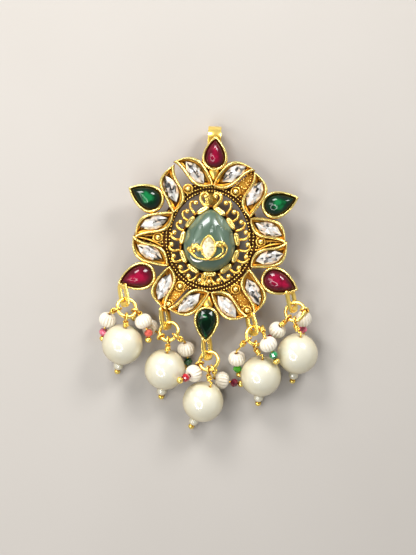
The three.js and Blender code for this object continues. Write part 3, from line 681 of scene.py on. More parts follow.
def grain_tree(gold):
    """Small balls scattered over a surface, with a fixed seed."""
    tree, wiring, inputs = new_tree("melted_grains", [
        ("Spacing", "NodeSocketFloat", 0.5 * MM),
        ("Density", "NodeSocketFloat", 4e6),
        ("Smallest", "NodeSocketFloat", 0.15 * MM),
        ("Largest", "NodeSocketFloat", 0.3 * MM),
        ("Seed", "NodeSocketInt", 7),
    ])
    spots = wiring.node("GeometryNodeDistributePointsOnFaces", distribute_method="POISSON")
    for socket, label in (("Mesh", "Geometry"), ("Distance Min", "Spacing"), ("Density Max", "Density"),
                          ("Seed", "Seed")):
        wiring.feed(spots.inputs[socket], inputs[label])
    # The float sockets of the random value are its third and fourth, and its second output.
    radius = wiring.node("FunctionNodeRandomValue", data_type="FLOAT")
    for socket, label in ((2, "Smallest"), (3, "Largest"), ("Seed", "Seed")):
        wiring.feed(radius.inputs[socket], inputs[label])
    balls_on(wiring, spots.outputs["Points"], radius.outputs[1], gold)
    return tree


BEADS = bead_tree(NEW_GOLD)
GRAINS = grain_tree(AMBER_GOLD)
print("trees:", BEADS.name, GRAINS.name)

# %% Beaded wires


def grown(name, mesh, tree, sizes):
    """Runs a tree on a mesh, keeps its result as a plain mesh and drops the object that carried it."""
    base = put("base", mesh)
    modifier = base.modifiers.new("grow", "NODES")
    modifier.node_group = tree
    for item in tree.interface.items_tree:
        if item.in_out == "INPUT" and item.name in sizes:
            modifier[item.identifier] = sizes[item.name]
    result = bpy.data.meshes.new_from_object(base.evaluated_get(bpy.context.evaluated_depsgraph_get()))
    result.name = name
    bpy.data.objects.remove(base)
    return dress(put(name, result), ["frame"])


def inside_any(points, outlines):
    """Which points lie inside any of the outlines, by the crossing rule."""
    hit = np.zeros(len(points), dtype=bool)
    for outline in outlines:
        ends = np.roll(outline, -1, axis=0)
        odd = np.zeros(len(points), dtype=bool)
        for (x0, y0), (x1, y1) in zip(outline, ends):
            crosses = (y0 > points[:, 1]) != (y1 > points[:, 1])
            with np.errstate(divide="ignore", invalid="ignore"):
                odd ^= crosses & (points[:, 0] < (x1 - x0) * (points[:, 1] - y0) / (y1 - y0) + x0)
        hit |= odd
    return hit


BEZEL_OUTLINES = [leaf_outline(leaf, 0.0) for leaf in LEAVES]
BEZEL_OUTLINES += [pear_outline(pear, 0.0) for pear in PEARS]
BEAD_ROWS = [
    {"name": "inner_beads", "half": (9.65, 11.35), "z": 7.15, "beads": 88, "radius": 0.2},
    {"name": "middle_beads", "half": (10.5, 12.2), "z": 7.1, "beads": 96, "radius": 0.21},
    {"name": "outer_beads", "half": (11.4, 13.1), "z": 7.05, "beads": 104, "radius": 0.23},
]

CORE = {"below": 0.3, "half": 0.13}

for row in BEAD_ROWS:
    places = oval(row["half"], row["beads"], row["z"])
    free = places[~inside_any(places[:, :2], BEZEL_OUTLINES)]
    dots = bpy.data.meshes.new("dots")
    dots.from_pydata(metres(free).tolist(), [], [])
    grown(row["name"], dots, BEADS, {"Radius": row["radius"] * MM})

cores = Shape()
for row in BEAD_ROWS:
    cores.add(*ring_of_wire(oval(row["half"], z=row["z"] - CORE["below"]), CORE["half"]))
cast_piece("bead_cores", cores, WASHED_GOLD)

# %% Grains over the corner plates

GROUND = {"tile": 0.3, "reach": 20, "past_beads": (11.8, 13.5)}


def oval_reach(points, half):
    """1 on an oval, less inside it and more outside."""
    return np.hypot(points[:, 0] / half[0], points[:, 1] / half[1])


def bare_ground():
    """The middles of small square tiles of plate that no bezel and no beaded wire covers."""
    spots = np.arange(-GROUND["reach"], GROUND["reach"], GROUND["tile"])
    grid = np.array([(x, y) for x in spots for y in spots])
    on_corner = inside_any(grid, [np.array(corner) for corner in CORNERS])
    on_oval = oval_reach(grid, PLATE_OUTER) < 1
    past_beads = oval_reach(grid, GROUND["past_beads"]) > 1
    return grid[(on_corner | on_oval) & past_beads & ~inside_any(grid, BEZEL_OUTLINES)]


def ground_mesh():
    half = GROUND["tile"] / 2
    points, faces = [], []
    for x, y in bare_ground():
        faces.append([len(points) + corner for corner in range(4)])
        points += [(x - half, y - half, WEB_Z), (x + half, y - half, WEB_Z),
                   (x + half, y + half, WEB_Z), (x - half, y + half, WEB_Z)]
    mesh = bpy.data.meshes.new("ground")
    mesh.from_pydata(metres(points).tolist(), [], faces)
    return mesh


grown("melted_grains", ground_mesh(), GRAINS,
      {"Spacing": 0.5 * MM, "Density": 5e6, "Smallest": 0.14 * MM, "Largest": 0.27 * MM, "Seed": 11})

# %% [markdown]
# ## Grains in collets
#
# Larger balls sit in the corners, each in a little ring, so that it catches the light by itself.

# %% Large grains

GRANULES = [(-5.8, 11.6), (5.7, 11.5), (12.3, -0.3), (-12.5, -0.4), (-6.6, -11.9), (6.8, -12.0),
            (-9.15, -16.35), (9.8, -17.0)]
GRANULE = {"ball": 0.68, "ring": 1.02, "wire": 0.24, "z": 7.25, "rise": 0.12, "sink": 0.1}

grains = Shape()
for x, y in GRANULES:
    grains.add(*globe((x, y, GRANULE["z"] + GRANULE["rise"]), GRANULE["ball"]))
    ring = oval((GRANULE["ring"], GRANULE["ring"]), 20, GRANULE["z"] - GRANULE["sink"]) + (x, y, 0)
    grains.add(*ring_of_wire(ring, GRANULE["wire"]))
cast_piece("corner_grains", grains, RIM_GOLD)

# %% [markdown]
# ## Bosses and ribs in the valleys
#
# Between the two leaves at the head and at the foot a small kite of gold bulges up, and the valleys at
# the two sides are ribbed with wires that run together outwards.

# %% Valley bosses and ribs

KITE = [(0.3, 17.8), (1.9, 16.1), (0.3, 13.2), (-1.4, 16.1)]
KITE_RISE = [(1.0, BACK_Z + 0.5), (1.0, 6.8), (0.86, 7.25), (0.6, 7.6), (0.25, 7.78)]
UPPER_RIB = [(11.6, 2.4, 7.05, 0.2), (14.2, 1.15, 7.2, 0.24), (16.6, 0.62, 7.3, 0.24), (18.0, 0.4, 7.2, 0.2)]
LOWER_RIB = [(x, -y, z, half) for x, y, z, half in UPPER_RIB]
MIDDLE_RIB = [(13.6, 0.0, 7.0, 0.2), (16.0, 0.0, 7.1, 0.24), (18.0, 0.0, 7.1, 0.24)]

valleys = Shape()
for side in (1, -1):
    outline = rounded([(x, side * y) for x, y in KITE], 4, closed=True)
    middle = outline.mean(axis=0)
    valleys.add(*rings_to_skin([at_height(middle + (outline - middle) * scale, z) for scale, z in KITE_RISE]))
    for rib in (UPPER_RIB, LOWER_RIB, MIDDLE_RIB):
        valleys.add(*wire([(side * x, y, z, half) for x, y, z, half in rib], spans=5, sides=8))
cast_piece("valley_bosses", valleys, OLD_GOLD, crease=50)

# %% [markdown]
# ## The pierced gallery
#
# Little scrolls hold the cup of the middle stone: each is a ball with a wire that starts beside it,
# rounds it and runs in to the collar. Daylight shows between them, so they are real wires and not a
# relief. The top two turn away from each other like a lyre, and all the rest follow one curl, laid out
# from the ball's own middle along the oval.

# %% The collar's outline

CENTRE = {"half_width": 6.46, "half_height": 7.5, "y": -0.6, "taper": 0.35, "fullness": 1.07}
STONE_GAP = 0.3
COLLAR_WALL = 0.9


def tear_point(margin, degrees):
    """A point of the middle stone's outline, grown by a margin; 0 degrees is its tip."""
    angle = np.radians(np.asarray(degrees, dtype=float)) % (2 * math.pi)
    belly = CENTRE["fullness"] * np.sin(angle / 2) ** CENTRE["taper"]
    x = (CENTRE["half_width"] + margin) * np.sin(angle) * belly
    y = CENTRE["y"] + (CENTRE["half_height"] + margin) * np.cos(angle)
    return np.stack([x, y], axis=-1)


def tear_outline(margin, sides=120):
    return tear_point(margin, np.linspace(0, 360, sides, endpoint=False))


def nearest_on_tear(place, margin, samples=720, span=3):
    """The collar's point nearest to a place, and the outline's direction there."""
    outline = tear_outline(margin, samples)
    index = int(np.argmin(np.linalg.norm(outline - place, axis=1)))
    return outline[index], unit(outline[(index + span) % samples] - outline[index - span])


print("the collar measures", np.ptp(tear_outline(STONE_GAP + COLLAR_WALL), axis=0).round(1).tolist(), "mm")

# %% Scrolls

SCROLL_BALLS = [
    (-3.8, 8.4), (-5.75, 6.2), (-7.25, 3.55), (-8.6, 1.0), (-9.1, -1.9), (-8.5, -4.7), (-6.7, -7.3),
    (-4.7, -9.35), (-1.9, -10.25), (3.5, 8.65), (5.6, 6.5), (7.45, 4.2), (8.65, 1.75), (9.25, -1.2),
    (8.95, -4.1), (7.35, -6.8), (4.95, -8.95), (2.6, -10.0), (0.35, -10.45),
]
SCROLL = {"ball": 0.64, "z": 7.1, "oval": (9.2, 10.5), "reach_in": 0.6, "bite": 0.5}
# The curl from beside the ball, as (outwards, onwards) from the ball's middle. The wire's heights and half
# thicknesses have one more, for its seat in the collar.
CURL = [(0.45, 0.2), (0.62, 0.6), (0.45, 1.1), (-0.05, 1.5), (-0.7, 1.65), (-1.3, 1.6)]
CURL_HEIGHTS = [7.0, 7.1, 7.1, 7.05, 7.0, 6.95, 6.9]
CURL_HALVES = [0.2, 0.28, 0.32, 0.34, 0.33, 0.33, 0.33]
LYRE = [
    [(-1.45, 9.95), (-1.0, 10.45), (-1.75, 10.75), (-2.5, 10.2), (-2.6, 9.2), (-2.0, 8.2), (-1.1, 7.3)],
    [(1.0, 10.05), (0.6, 10.55), (1.35, 10.85), (2.2, 10.35), (2.25, 9.4), (1.6, 8.4), (0.7, 7.4)],
]
LYRE_HALVES = [0.42, 0.3, 0.36, 0.44, 0.44, 0.4, 0.36]
LYRE_WIRE = {"z": 7.2, "ball_z": 7.3, "ball": 0.55}


def scroll(shape, ball):
    """A ball, and the wire that rounds it and runs in to the collar."""
    side = 1 if ball[0] > 0 else -1
    centre = np.array(ball)
    out = unit(centre / np.array(SCROLL["oval"]) ** 2)
    onward = side * np.array([out[1], -out[0]])
    corners = [centre + outward * out + ahead * onward for outward, ahead in CURL]
    seat = nearest_on_tear(corners[-1] - SCROLL["reach_in"] * out, STONE_GAP + SCROLL["bite"])[0]
    route = [(*corner, z, half) for corner, z, half in zip(corners + [seat], CURL_HEIGHTS, CURL_HALVES)]
    shape.add(*globe((*centre, SCROLL["z"]), SCROLL["ball"]))
    shape.add(*wire(route, spans=5))


gallery = Shape()
for ball in SCROLL_BALLS:
    scroll(gallery, ball)
for route in LYRE:
    gallery.add(*wire([(x, y, LYRE_WIRE["z"], half) for (x, y), half in zip(route, LYRE_HALVES)]))
    gallery.add(*globe((*route[0], LYRE_WIRE["ball_z"]), LYRE_WIRE["ball"]))
cast_piece("scroll_gallery", gallery, RIM_GOLD)

# %% [markdown]
# ## The cup and its claws
#
# A wall follows the stone's teardrop outline, and eleven claws lean over it with a dark joint between one
# and the next. Each claw is a short loop of thick wire pressed flat, so that it looks like one rounded lug
# with a shallow groove along its middle. Its places are given and moved on to the outline.

# %% Cup and claws

COLLAR = STONE_GAP + COLLAR_WALL
CUP_PROFILE = [
    (COLLAR - 0.1, BACK_Z), (COLLAR, 5.6), (COLLAR, 6.7), (COLLAR - 0.15, 7.05), (STONE_GAP + 0.45, 7.2),
    (STONE_GAP + 0.1, 7.1), (STONE_GAP, 6.8), (STONE_GAP - 0.05, 6.15), (-0.4, 6.02),
]
CLAWS = [
    (-1.9, 6.5), (-4.9, 3.6), (-6.4, -0.2), (-6.3, -4.8), (-3.75, -7.7), (0.3, -8.6), (4.25, -7.2),
    (6.6, -4.2), (6.5, 0.0), (4.9, 3.7), (2.0, 6.5),
]
CLAW = {"half_length": 1.25, "half_width": 0.24, "shoulder": 0.6, "wire": 0.44, "z": 7.55, "lean": 0.3,
        "outside": 0.22}


def claw_loop():
    """The loop's corners along the outline and out from it."""
    long, wide = CLAW["half_length"], CLAW["half_width"]
    shoulder = CLAW["shoulder"] * long
    return [(long, 0), (shoulder, wide), (-shoulder, wide), (-long, 0), (-shoulder, -wide), (shoulder, -wide)]


cast_piece("stone_cup", Shape().add(*walled(tear_outline, CUP_PROFILE)), WASHED_GOLD, crease=50)

claws = Shape()
for place in CLAWS:
    middle, ahead = nearest_on_tear(np.array(place), STONE_GAP + CLAW["outside"])
    aside = np.array([-ahead[1], ahead[0]])
    route = [(*(middle + along * ahead + out * aside), CLAW["z"] - CLAW["lean"] * out, CLAW["wire"])
             for along, out in claw_loop()]
    claws.add(*wire(route, spans=5, sides=8, closed=True))
cast_piece("stone_claws", claws, RIM_GOLD)

# %% [markdown]
# ## Bails and hook
#
# A bail is a long loop of strip with a domed face, which holds a jump ring, and each lies turned partly on
# its side, as it fell. Its section is a flattened circle carried round the loop. The hook is one flat
# strip: soldered behind the top pear, bent over and run back down under the flower.

# %% Bails

# Each bail's place, lean in degrees and the way it is turned.
BAILS = [(-20.1, -14.65, 12, 1), (-9.8, -19.7, 11, -1), (0.6, -26.5, 7, -1), (11.1, -20.2, 15, 1),
         (20.4, -14.1, 14, -1)]
BAIL = {"length": 5.0, "depth": 2.9, "wall": 0.62, "width": 1.6, "turn": 40, "z": 6.75,
        "end_cut": 0.5, "side_cut": 0.7}
ALONG_X = np.array([1.0, 0.0, 0.0])


def bail_skin():
    """One bail, upright in the y and z plane, its corners cut before they are rounded."""
    long, high = (BAIL["length"] - BAIL["wall"]) / 2, (BAIL["depth"] - BAIL["wall"]) / 2
    inner_long, inner_high = long - BAIL["end_cut"], high - BAIL["side_cut"]
    loop = [(0, inner_long, high), (0, long, inner_high), (0, long, -inner_high), (0, inner_long, -high),
            (0, -inner_long, -high), (0, -long, -inner_high), (0, -long, inner_high), (0, -inner_long, high)]
    domed = circle_section(12) * (BAIL["width"] / 2, BAIL["wall"] / 2)
    return sweep(rounded(loop, 5, closed=True), domed, closed=True, up=ALONG_X)


bails = Shape()
for x, y, lean, way in BAILS:
    points, faces = bail_skin()
    bails.add(turn(turn(points, BAIL["turn"] * way, 2, 0), lean) + (x, y, BAIL["z"]), faces)
piece("bails", bails, NEW_GOLD, ["frame"], crease=40)

# %% Hook

HOOK = {"width": 3.2, "thickness": 1.0, "foot_y": -14.0, "solder_y": 13.0, "edge": 0.18}
half = HOOK["thickness"] / 2
radius = (BACK_Z + HOOK["thickness"]) / 2 - half
bend_y = HOOK_TOP - radius - half
bend = [(0, bend_y + radius * math.sin(angle), half + radius * (1 + math.cos(angle)))
        for angle in np.linspace(0, math.pi, 17)]
hook_route = np.array([(0, HOOK["solder_y"], BACK_Z + half)] + bend + [(0, HOOK["foot_y"], half)])
hook = sweep(hook_route, strip_section(half, HOOK["width"] / 2, HOOK["edge"]), up=ALONG_X)
piece("hair_hook", Shape().add(*hook), HOOK_GOLD, ["frame"], crease=40)

# %% [markdown]
# ## Clear navette stones over foil
#
# The leaf stones are foil-backed glass, so what you see is not depth but hard patches of reflected light:
# white, grey, near black and a blush of peach, painted here as reflections. Each facet gets a level of
# painted light from a seeded draw, kept in the mesh. A pattern of cells, stretched along the stone, breaks
# the facets up further with more painted reflections, and the shader turns the sum into a colour and stays
# very smooth.

# %% Crystal material and cut

# The colours of the painted reflections, from near black through grey and peach to white.
CRYSTAL_STOPS = [
    (0.0, (0.03, 0.028, 0.026)),
    (0.2, (0.12, 0.115, 0.11)),
    (0.34, (0.40, 0.38, 0.35)),
    (0.46, (0.92, 0.70, 0.52)),
    (0.58, (0.50, 0.49, 0.46)),
    (0.8, (0.64, 0.63, 0.60)),
    (1.0, (0.92, 0.91, 0.89)),
]


def crystal():
    """Foiled glass: a level of painted light to a facet, broken by painted reflections stretched along the
    stone.
    """
    finish = Finish("clear_stone")
    tone = finish.attribute("tone")
    cells = finish.node("ShaderNodeTexVoronoi", {"Scale": 1.0, "Vector": finish.attribute("spot", "Vector")})
    split = finish.node("ShaderNodeSeparateColor", {"Color": cells.outputs["Color"]})
    patch = finish.calc("MULTIPLY_ADD", split.outputs["Red"], 0.9, -0.42)
    mixed = finish.calc("ADD", tone, patch, clamp=True)
    return finish.surface({"Base Color": finish.ramp(CRYSTAL_STOPS, mixed), "Metallic": 0.25,
                           "Roughness": 0.12, "Coat Weight": 1.0, "Coat Roughness": 0.02})


def navette(length, width, sides):
    """A boat-shaped outline, sharp at both ends."""
    half = sides // 2
    steps = np.arange(sides)
    along = np.where(steps <= half, 1 - 2 * steps / half, 2 * (steps - half) / half - 1)
    across = (1 - along**2) ** 0.85 * np.where(steps < half, 1, -1)
    return np.column_stack([along * length / 2, across * width / 2])


def faceted(outline, rows):
    """Skins a cut stone in triangles from rows of scale, height and 1 where a row lies half a side on."""
    halfway = (outline + np.roll(outline, -1, axis=0)) / 2
    rings = [at_height((halfway if shifted else outline) * scale, z) for scale, z, shifted in rows]
    count = len(outline)
    faces = [list(range(count))[::-1]]
    for band in range(len(rings) - 1):
        low, high = band * count, (band + 1) * count
        for side in range(count):
            after = (side + 1) % count
            faces += [[low + side, low + after, high + side], [low + after, high + after, high + side]]
    faces.append([(len(rings) - 1) * count + side for side in range(count)])
    return np.concatenate(rings), faces


CRYSTAL = crystal()
print("material:", CRYSTAL.name)

# %% Navette stones and their tones

CRYSTAL_ROWS = [(0.3, 0.0, 0), (0.97, 0.55, 0), (1.0, 0.7, 0), (0.6, 1.3, 1), (0.14, 1.5, 0)]
NAVETTE = {"length": 6.9, "width": 3.4, "sides": 8}
STONE_Z = 6.62
# Levels of painted light that a facet can draw.
FACET_LIGHTS = [0.12, 0.3, 0.42, 0.55, 0.7, 0.85, 1.0]
FACET_LIGHT_JITTER = 0.06
SPOT_SCALE = (0.55, 1.5, 1.0)
SPOT_SHIFT = 50
rng = random.Random(5)


def set_tones(obj, choices, heading=0.0):
    """A level of painted light to each facet, and to each corner its place along and across the stone,
    shifted by chance.
    """
    tones = obj.data.attributes.new("tone", "FLOAT", "FACE")
    drawn = [rng.choice(choices) + rng.uniform(-FACET_LIGHT_JITTER, FACET_LIGHT_JITTER) for _ in obj.data.polygons]
    tones.data.foreach_set("value", drawn)
    points = np.array([vertex.co for vertex in obj.data.vertices]) / MM
    flat = turn(points - points.mean(axis=0), -heading)
    spots = obj.data.attributes.new("spot", "FLOAT_VECTOR", "POINT")
    spots.data.foreach_set("vector", (flat * SPOT_SCALE + (rng.uniform(0, SPOT_SHIFT), 0, 0)).ravel())


for leaf in LEAVES:
    x, y, heading = leaf["stone"]
    points, faces = faceted(navette(**NAVETTE), CRYSTAL_ROWS)
    stone = Shape().add(turn(points, heading) + (x, y, STONE_Z), faces)
    node = leaf["name"].replace("_", "_stone_")
    set_tones(piece(f"{node}_cut", stone, CRYSTAL, [node], flat=True), FACET_LIGHTS, heading)

# %% [markdown]
# ## Red and green pears
#
# Five of the pears are smooth domes and the lowest is cut. Over foil such a stone looks dark under its rim
# and lit inside, and here that light is painted: a smooth one is given marks that rise inwards, and the
# shader ramps over them from dark to bright. The cut one is given marks that change from corner to corner, as
# painted glints.

# %% Coloured stones

STONE_COLOURS = {
    "ruby": [(0.0, (0.008, 0.001, 0.002)), (0.35, (0.040, 0.001, 0.005)), (0.7, (0.10, 0.002, 0.012)),
             (1.0, (0.30, 0.006, 0.035))],
    "emerald": [(0.0, (0.0008, 0.004, 0.002)), (0.5, (0.001, 0.009, 0.003)), (0.82, (0.002, 0.028, 0.009)),
                (1.0, (0.008, 0.16, 0.045))],
}


def coloured_stone(name):
    """Foiled glass with painted light: dark at its rim and bright inside, with a cloud in it."""
    finish = Finish(f"{name}_glass")
    depth = finish.attribute("mark")
    painted_inner_light = finish.calc("ADD", depth, finish.cloud(finish.coords(), 0.45, 2.0, 0.9), clamp=True)
    return finish.surface({"Base Color": finish.ramp(STONE_COLOURS[name], painted_inner_light), "Roughness": 0.08,
                           "Specular IOR Level": 0.3, "Coat Weight": 0.15, "Coat Roughness": 0.03})


STONE_MATERIALS = {name: coloured_stone(name) for name in STONE_COLOURS}
STONE_INSET = 0.78
SMOOTH = {"sides": 48, "edge": 0.9, "rise": 2.3}
SMOOTH_SCALES = (0.9, 0.97, 1.0, 0.985, 0.95, 0.89, 0.8, 0.68, 0.54, 0.38, 0.2, 0.06)
CUT_SIDES = 14
CUT_ROWS = [(0.4, 0.0, 0), (1.0, 0.95, 0), (1.0, 1.1, 0), (0.78, 1.6, 1), (0.5, 1.95, 0)]


def smooth_pear(pear):
    """A dome on a low edge; its marks, painted light, brighten inwards and away from the tip."""
    outline = pear_points(pear, STONE_INSET, SMOOTH["sides"])
    edge, rise = SMOOTH["edge"], SMOOTH["rise"] - SMOOTH["edge"]
    rings, marks = [], []
    for level, scale in enumerate(SMOOTH_SCALES):
        z = edge + rise * (1 - scale**2.4) if level >= 2 else edge / 2 * level
        rings.append(at_height(outline * scale, z))
        marks += list(0.25 + 0.75 * (1 - scale**2) - 0.2 * rings[-1][:, 0] / pear["length"])
    points, faces = rings_to_skin(rings)
    return points, faces, np.array(marks)


def cut_pear(pear):
    """A faceted pear; its marks, painted glints, change from corner to corner."""
    points, faces = faceted(pear_points(pear, STONE_INSET, CUT_SIDES), CUT_ROWS)
    return points, faces, 0.5 + 0.3 * np.cos(np.arange(len(points)) * 2.4)


for pear in PEARS:
    node = f"pear_stone_{pear['name']}"
    is_cut = pear["name"] == "bottom"
    points, faces, marks = cut_pear(pear) if is_cut else smooth_pear(pear)
    kind = pear["stone"]
    stone = Shape().add(turn(points, pear["angle"]) + (*pear["at"], STONE_Z), faces, marks)
    piece(f"{node}_{kind}", stone, STONE_MATERIALS[kind], [node], flat=is_cut)

# %% [markdown]
# ## The carved jade
#
# The middle stone is a domed teardrop of grey-green stone. Its upper half is carved with soft scoops that
# fan out from the tip, which is why the light breaks into petals there, and its lower part is plain. The
# dome is a fan of rings over the teardrop, and each scoop is a smooth dent taken from the height.

# %% Where the carving goes

HEART_Y = -1.9
DOME = {"girdle": 7.5, "rise": 3.5}
# The rings under the girdle: (scale, height).
DOME_FOOT = ((0.94, 6.3), (0.975, 6.9))
SCOOPS = [
    {"x": -2.7, "y": 4.6, "long": 1.9, "wide": 0.5, "angle": 62, "deep": 0.42},
    {"x": -4.0, "y": 3.4, "long": 1.5, "wide": 0.75, "angle": 50, "deep": 0.4},
    {"x": 2.3, "y": 4.2, "long": 2.0, "wide": 0.6, "angle": 118, "deep": 0.42},
    {"x": 3.7, "y": 3.2, "long": 1.7, "wide": 0.75, "angle": 128, "deep": 0.45},
    {"x": -2.9, "y": 0.9, "long": 2.2, "wide": 0.85, "angle": 68, "deep": 0.42},
    {"x": 2.4, "y": 1.2, "long": 2.1, "wide": 0.7, "angle": 112, "deep": 0.3},
    {"x": 0.3, "y": 2.2, "long": 0.9, "wide": 0.45, "angle": 90, "deep": 0.25},
    {"x": -5.6, "y": 0.3, "long": 1.5, "wide": 0.8, "angle": 80, "deep": 0.5},
    {"x": 5.5, "y": 0.2, "long": 1.6, "wide": 0.8, "angle": 100, "deep": 0.5},
    {"x": -5.9, "y": -2.6, "long": 1.3, "wide": 0.7, "angle": 95, "deep": 0.4},
    {"x": 6.0, "y": -2.7, "long": 1.3, "wide": 0.7, "angle": 85, "deep": 0.4},
]


def scooped(x, y):
    """How deep the carving goes at flat places on the stone."""
    depth = np.zeros_like(x)
    for scoop in SCOOPS:
        angle = math.radians(scoop["angle"])
        along = (x - scoop["x"]) * math.cos(angle) + (y - scoop["y"]) * math.sin(angle)
        across = -(x - scoop["x"]) * math.sin(angle) + (y - scoop["y"]) * math.cos(angle)
        reach = (along / scoop["long"]) ** 2 + (across / scoop["wide"]) ** 2
        depth = np.maximum(depth, scoop["deep"] * np.clip(1 - reach, 0, None) ** 0.8)
    return depth


def dome_height(scale):
    return DOME["girdle"] + DOME["rise"] * np.clip(1 - scale**2.4, 0, None) ** 0.588


print(len(SCOOPS), "scoops, the deepest", max(scoop["deep"] for scoop in SCOOPS), "mm")

# %% Jade and its dome

JADE_STOPS = [
    (0.0, (0.034, 0.064, 0.042)),
    (0.35, (0.075, 0.120, 0.082)),
    (0.7, (0.15, 0.21, 0.155)),
    (1.0, (0.30, 0.39, 0.32)),
]


def jade():
    """Cloudy grey-green stone, paler in its hollows and a little see-through."""
    finish = Finish("jade")
    coords = finish.coords()
    cloud = finish.noise(coords, 0.16, 4.0)
    blend = finish.calc("MULTIPLY_ADD", cloud, 0.45, finish.attribute("mark"), clamp=True)
    return finish.surface({
        "Base Color": finish.ramp(JADE_STOPS, blend), "Roughness": 0.22, "Subsurface Weight": 0.05,
        "Subsurface Radius": (0.5 * MM, 0.8 * MM, 0.6 * MM), "Coat Weight": 0.4, "Coat Roughness": 0.06,
        "Normal": finish.bumps(finish.noise(coords, 0.8), 0.02)})


def dome_ring(outline, scale):
    """The outline drawn in towards the dome's middle."""
    return outline * scale + (0, HEART_Y * (1 - scale))


def carved_dome():
    """Rings from the foot to the top, lowered where a scoop passes; the marks say how deep."""
    outline = tear_outline(0.0, 160)
    rings = [at_height(dome_ring(outline, scale), z) for scale, z in DOME_FOOT]
    marks = [np.zeros(len(outline)) for _ in rings]
    for scale in np.cos(np.linspace(0, math.pi / 2 - 0.02, 60)):
        flat = dome_ring(outline, scale)
        dent = scooped(flat[:, 0], flat[:, 1])
        rings.append(np.column_stack([flat, dome_height(scale) - dent]))
        marks.append(0.12 + dent * 0.7)
    points, faces = rings_to_skin(rings)
    return points, faces, np.concatenate(marks)


piece("carved_jade", Shape().add(*carved_dome()), jade(), ["centre_stone"])

# %% [markdown]
# ## The lotus
#
# A pale navette in a fine collet stands on the stone between two gold petals. The left petal is one wire
# and the right one is two, thick over the shoulder and thinning as they sweep down, under and back to the
# collet's foot, with round lumps of melted gold on the shoulders. Every place is given flat and then
# lifted on to the dome, so that the wires lie on the stone.

# %% Where the lotus's wires run

LOTUS = {"x": -0.2, "y": -2.3, "length": 6.2, "width": 3.95}
# Each petal's route from the collet, from the lotus's middle, with the wire's half thickness.
RIGHT_PETAL = [
    (1.5, 0.75, 0.35), (2.2, 1.05, 0.5), (3.0, 1.15, 0.58), (3.8, 0.75, 0.42), (4.4, 0.15, 0.25),
    (4.35, -0.7, 0.2), (3.9, -1.6, 0.2), (3.0, -2.35, 0.2), (1.9, -2.75, 0.2), (0.4, -2.95, 0.26),
]
RIGHT_BLADE = [
    (1.6, 0.5, 0.3), (2.6, 0.55, 0.42), (3.4, 0.0, 0.26), (3.5, -0.9, 0.2), (3.0, -1.6, 0.18),
    (2.1, -2.2, 0.18), (1.0, -2.7, 0.2),
]
LEFT_PETAL = [
    (-1.5, -0.5, 0.4), (-2.1, -0.25, 0.5), (-3.0, 0.2, 0.62), (-3.8, -0.3, 0.6), (-4.6, -0.65, 0.42),
    (-4.3, -1.2, 0.3), (-3.7, -1.7, 0.34), (-3.1, -2.3, 0.28), (-2.0, -2.75, 0.22), (-0.4, -2.95, 0.26),
]
# Round lumps on the petals' shoulders: (x, y, radius).
PETAL_LUMPS = [
    (1.9, 0.85, 0.42), (3.5, 0.95, 0.5), (-2.3, -0.6, 0.5), (-2.9, 0.35, 0.55), (-3.7, 0.25, 0.5),
    (-4.1, -0.75, 0.55), (-3.4, -1.1, 0.4), (-4.75, -0.55, 0.4),
]
# A sliver of painted reflection under the left petal, where the petal's edge shines on the stone.
SLIVER = [(-4.2, -2.3, 0.08), (-3.8, -2.9, 0.16), (-3.2, -3.3, 0.22), (-2.3, -3.5, 0.2), (-1.3, -3.3, 0.1)]


def lift(x, y):
    """Height of the stone's plain dome over a flat place."""
    offset = tear_outline(0.0, 240) - (0, HEART_Y)
    bearing = math.atan2(y - HEART_Y, x)
    nearest = np.argmin(np.abs(np.arctan2(offset[:, 1], offset[:, 0]) - bearing))
    scale = math.hypot(x, y - HEART_Y) / np.linalg.norm(offset[nearest])
    return float(dome_height(np.array(min(scale, 0.99))))


def on_dome(places, above):
    """Carries places from the lotus's middle on to the dome, or a little above it."""
    carried = []
    for x, y, half in places:
        x, y = x + LOTUS["x"], y + LOTUS["y"]
        carried.append((x, y, lift(x, y) + above, half))
    return carried


print("the lotus's middle lies", round(lift(LOTUS["x"], LOTUS["y"]), 2), "mm up")

# %% Petals, collet and sliver

COLLET_Z = lift(LOTUS["x"], LOTUS["y"]) + 0.3
COLLET_PROFILE = [
    (0.1, -1.3), (0.0, -1.1), (0.0, 0.05), (0.08, 0.2), (0.22, 0.27), (0.36, 0.22), (0.46, 0.05), (0.5, -0.3),
]


def collet_outline(inset):
    length, width = LOTUS["length"] - 2.4 * inset, LOTUS["width"] - 2 * inset
    return navette(length, width, 36)[:, ::-1] + (LOTUS["x"], LOTUS["y"])


def painted_reflection():
    """Dull silver with soft flecks, standing in for a reflection."""
    finish = Finish("painted_reflection")
    stops = [(0.3, (0.82, 0.84, 0.80)), (0.7, (0.95, 0.95, 0.92))]
    flecks = finish.ramp(stops, finish.noise(finish.coords(), 1.5))
    return finish.surface({"Base Color": flecks, "Metallic": 0.6, "Roughness": 0.35})


lotus = Shape()
for petal in (RIGHT_PETAL, RIGHT_BLADE, LEFT_PETAL):
    lotus.add(*wire(on_dome(petal, 0.2), spans=7, sides=14))
for *place, radius in on_dome(PETAL_LUMPS, 0.3):
    lotus.add(*globe(place, radius))
lotus.add(*walled(collet_outline, [(inset, COLLET_Z + rise) for inset, rise in COLLET_PROFILE]))
piece("lotus_gold", lotus, NEW_GOLD, ["lotus_inlay"])

sliver = Shape().add(*wire(on_dome(SLIVER, 0.08)))
piece("lotus_sliver", sliver, painted_reflection(), ["lotus_inlay"])

# %% Pale stone

PALE_ROWS = [(0.7, 0.0, 0), (1.0, 0.25, 0), (0.6, 0.5, 1), (0.15, 0.62, 0)]
# Levels of painted light for the pale stone's facets.
PALE_FACET_LIGHTS = [0.2, 0.5, 0.7, 0.9, 1.0]
PALE_SINK = 0.28


def pale_stone():
    """Straw-coloured glass, with a level of painted light to a facet."""
    finish = Finish("pale_stone")
    stops = [(0.0, (0.36, 0.29, 0.13)), (0.5, (0.62, 0.54, 0.32)), (1.0, (0.80, 0.74, 0.52))]
    colour = finish.ramp(stops, finish.attribute("tone"))
    return finish.surface({"Base Color": colour, "Metallic": 0.1, "Roughness": 0.3, "Coat Weight": 0.4})


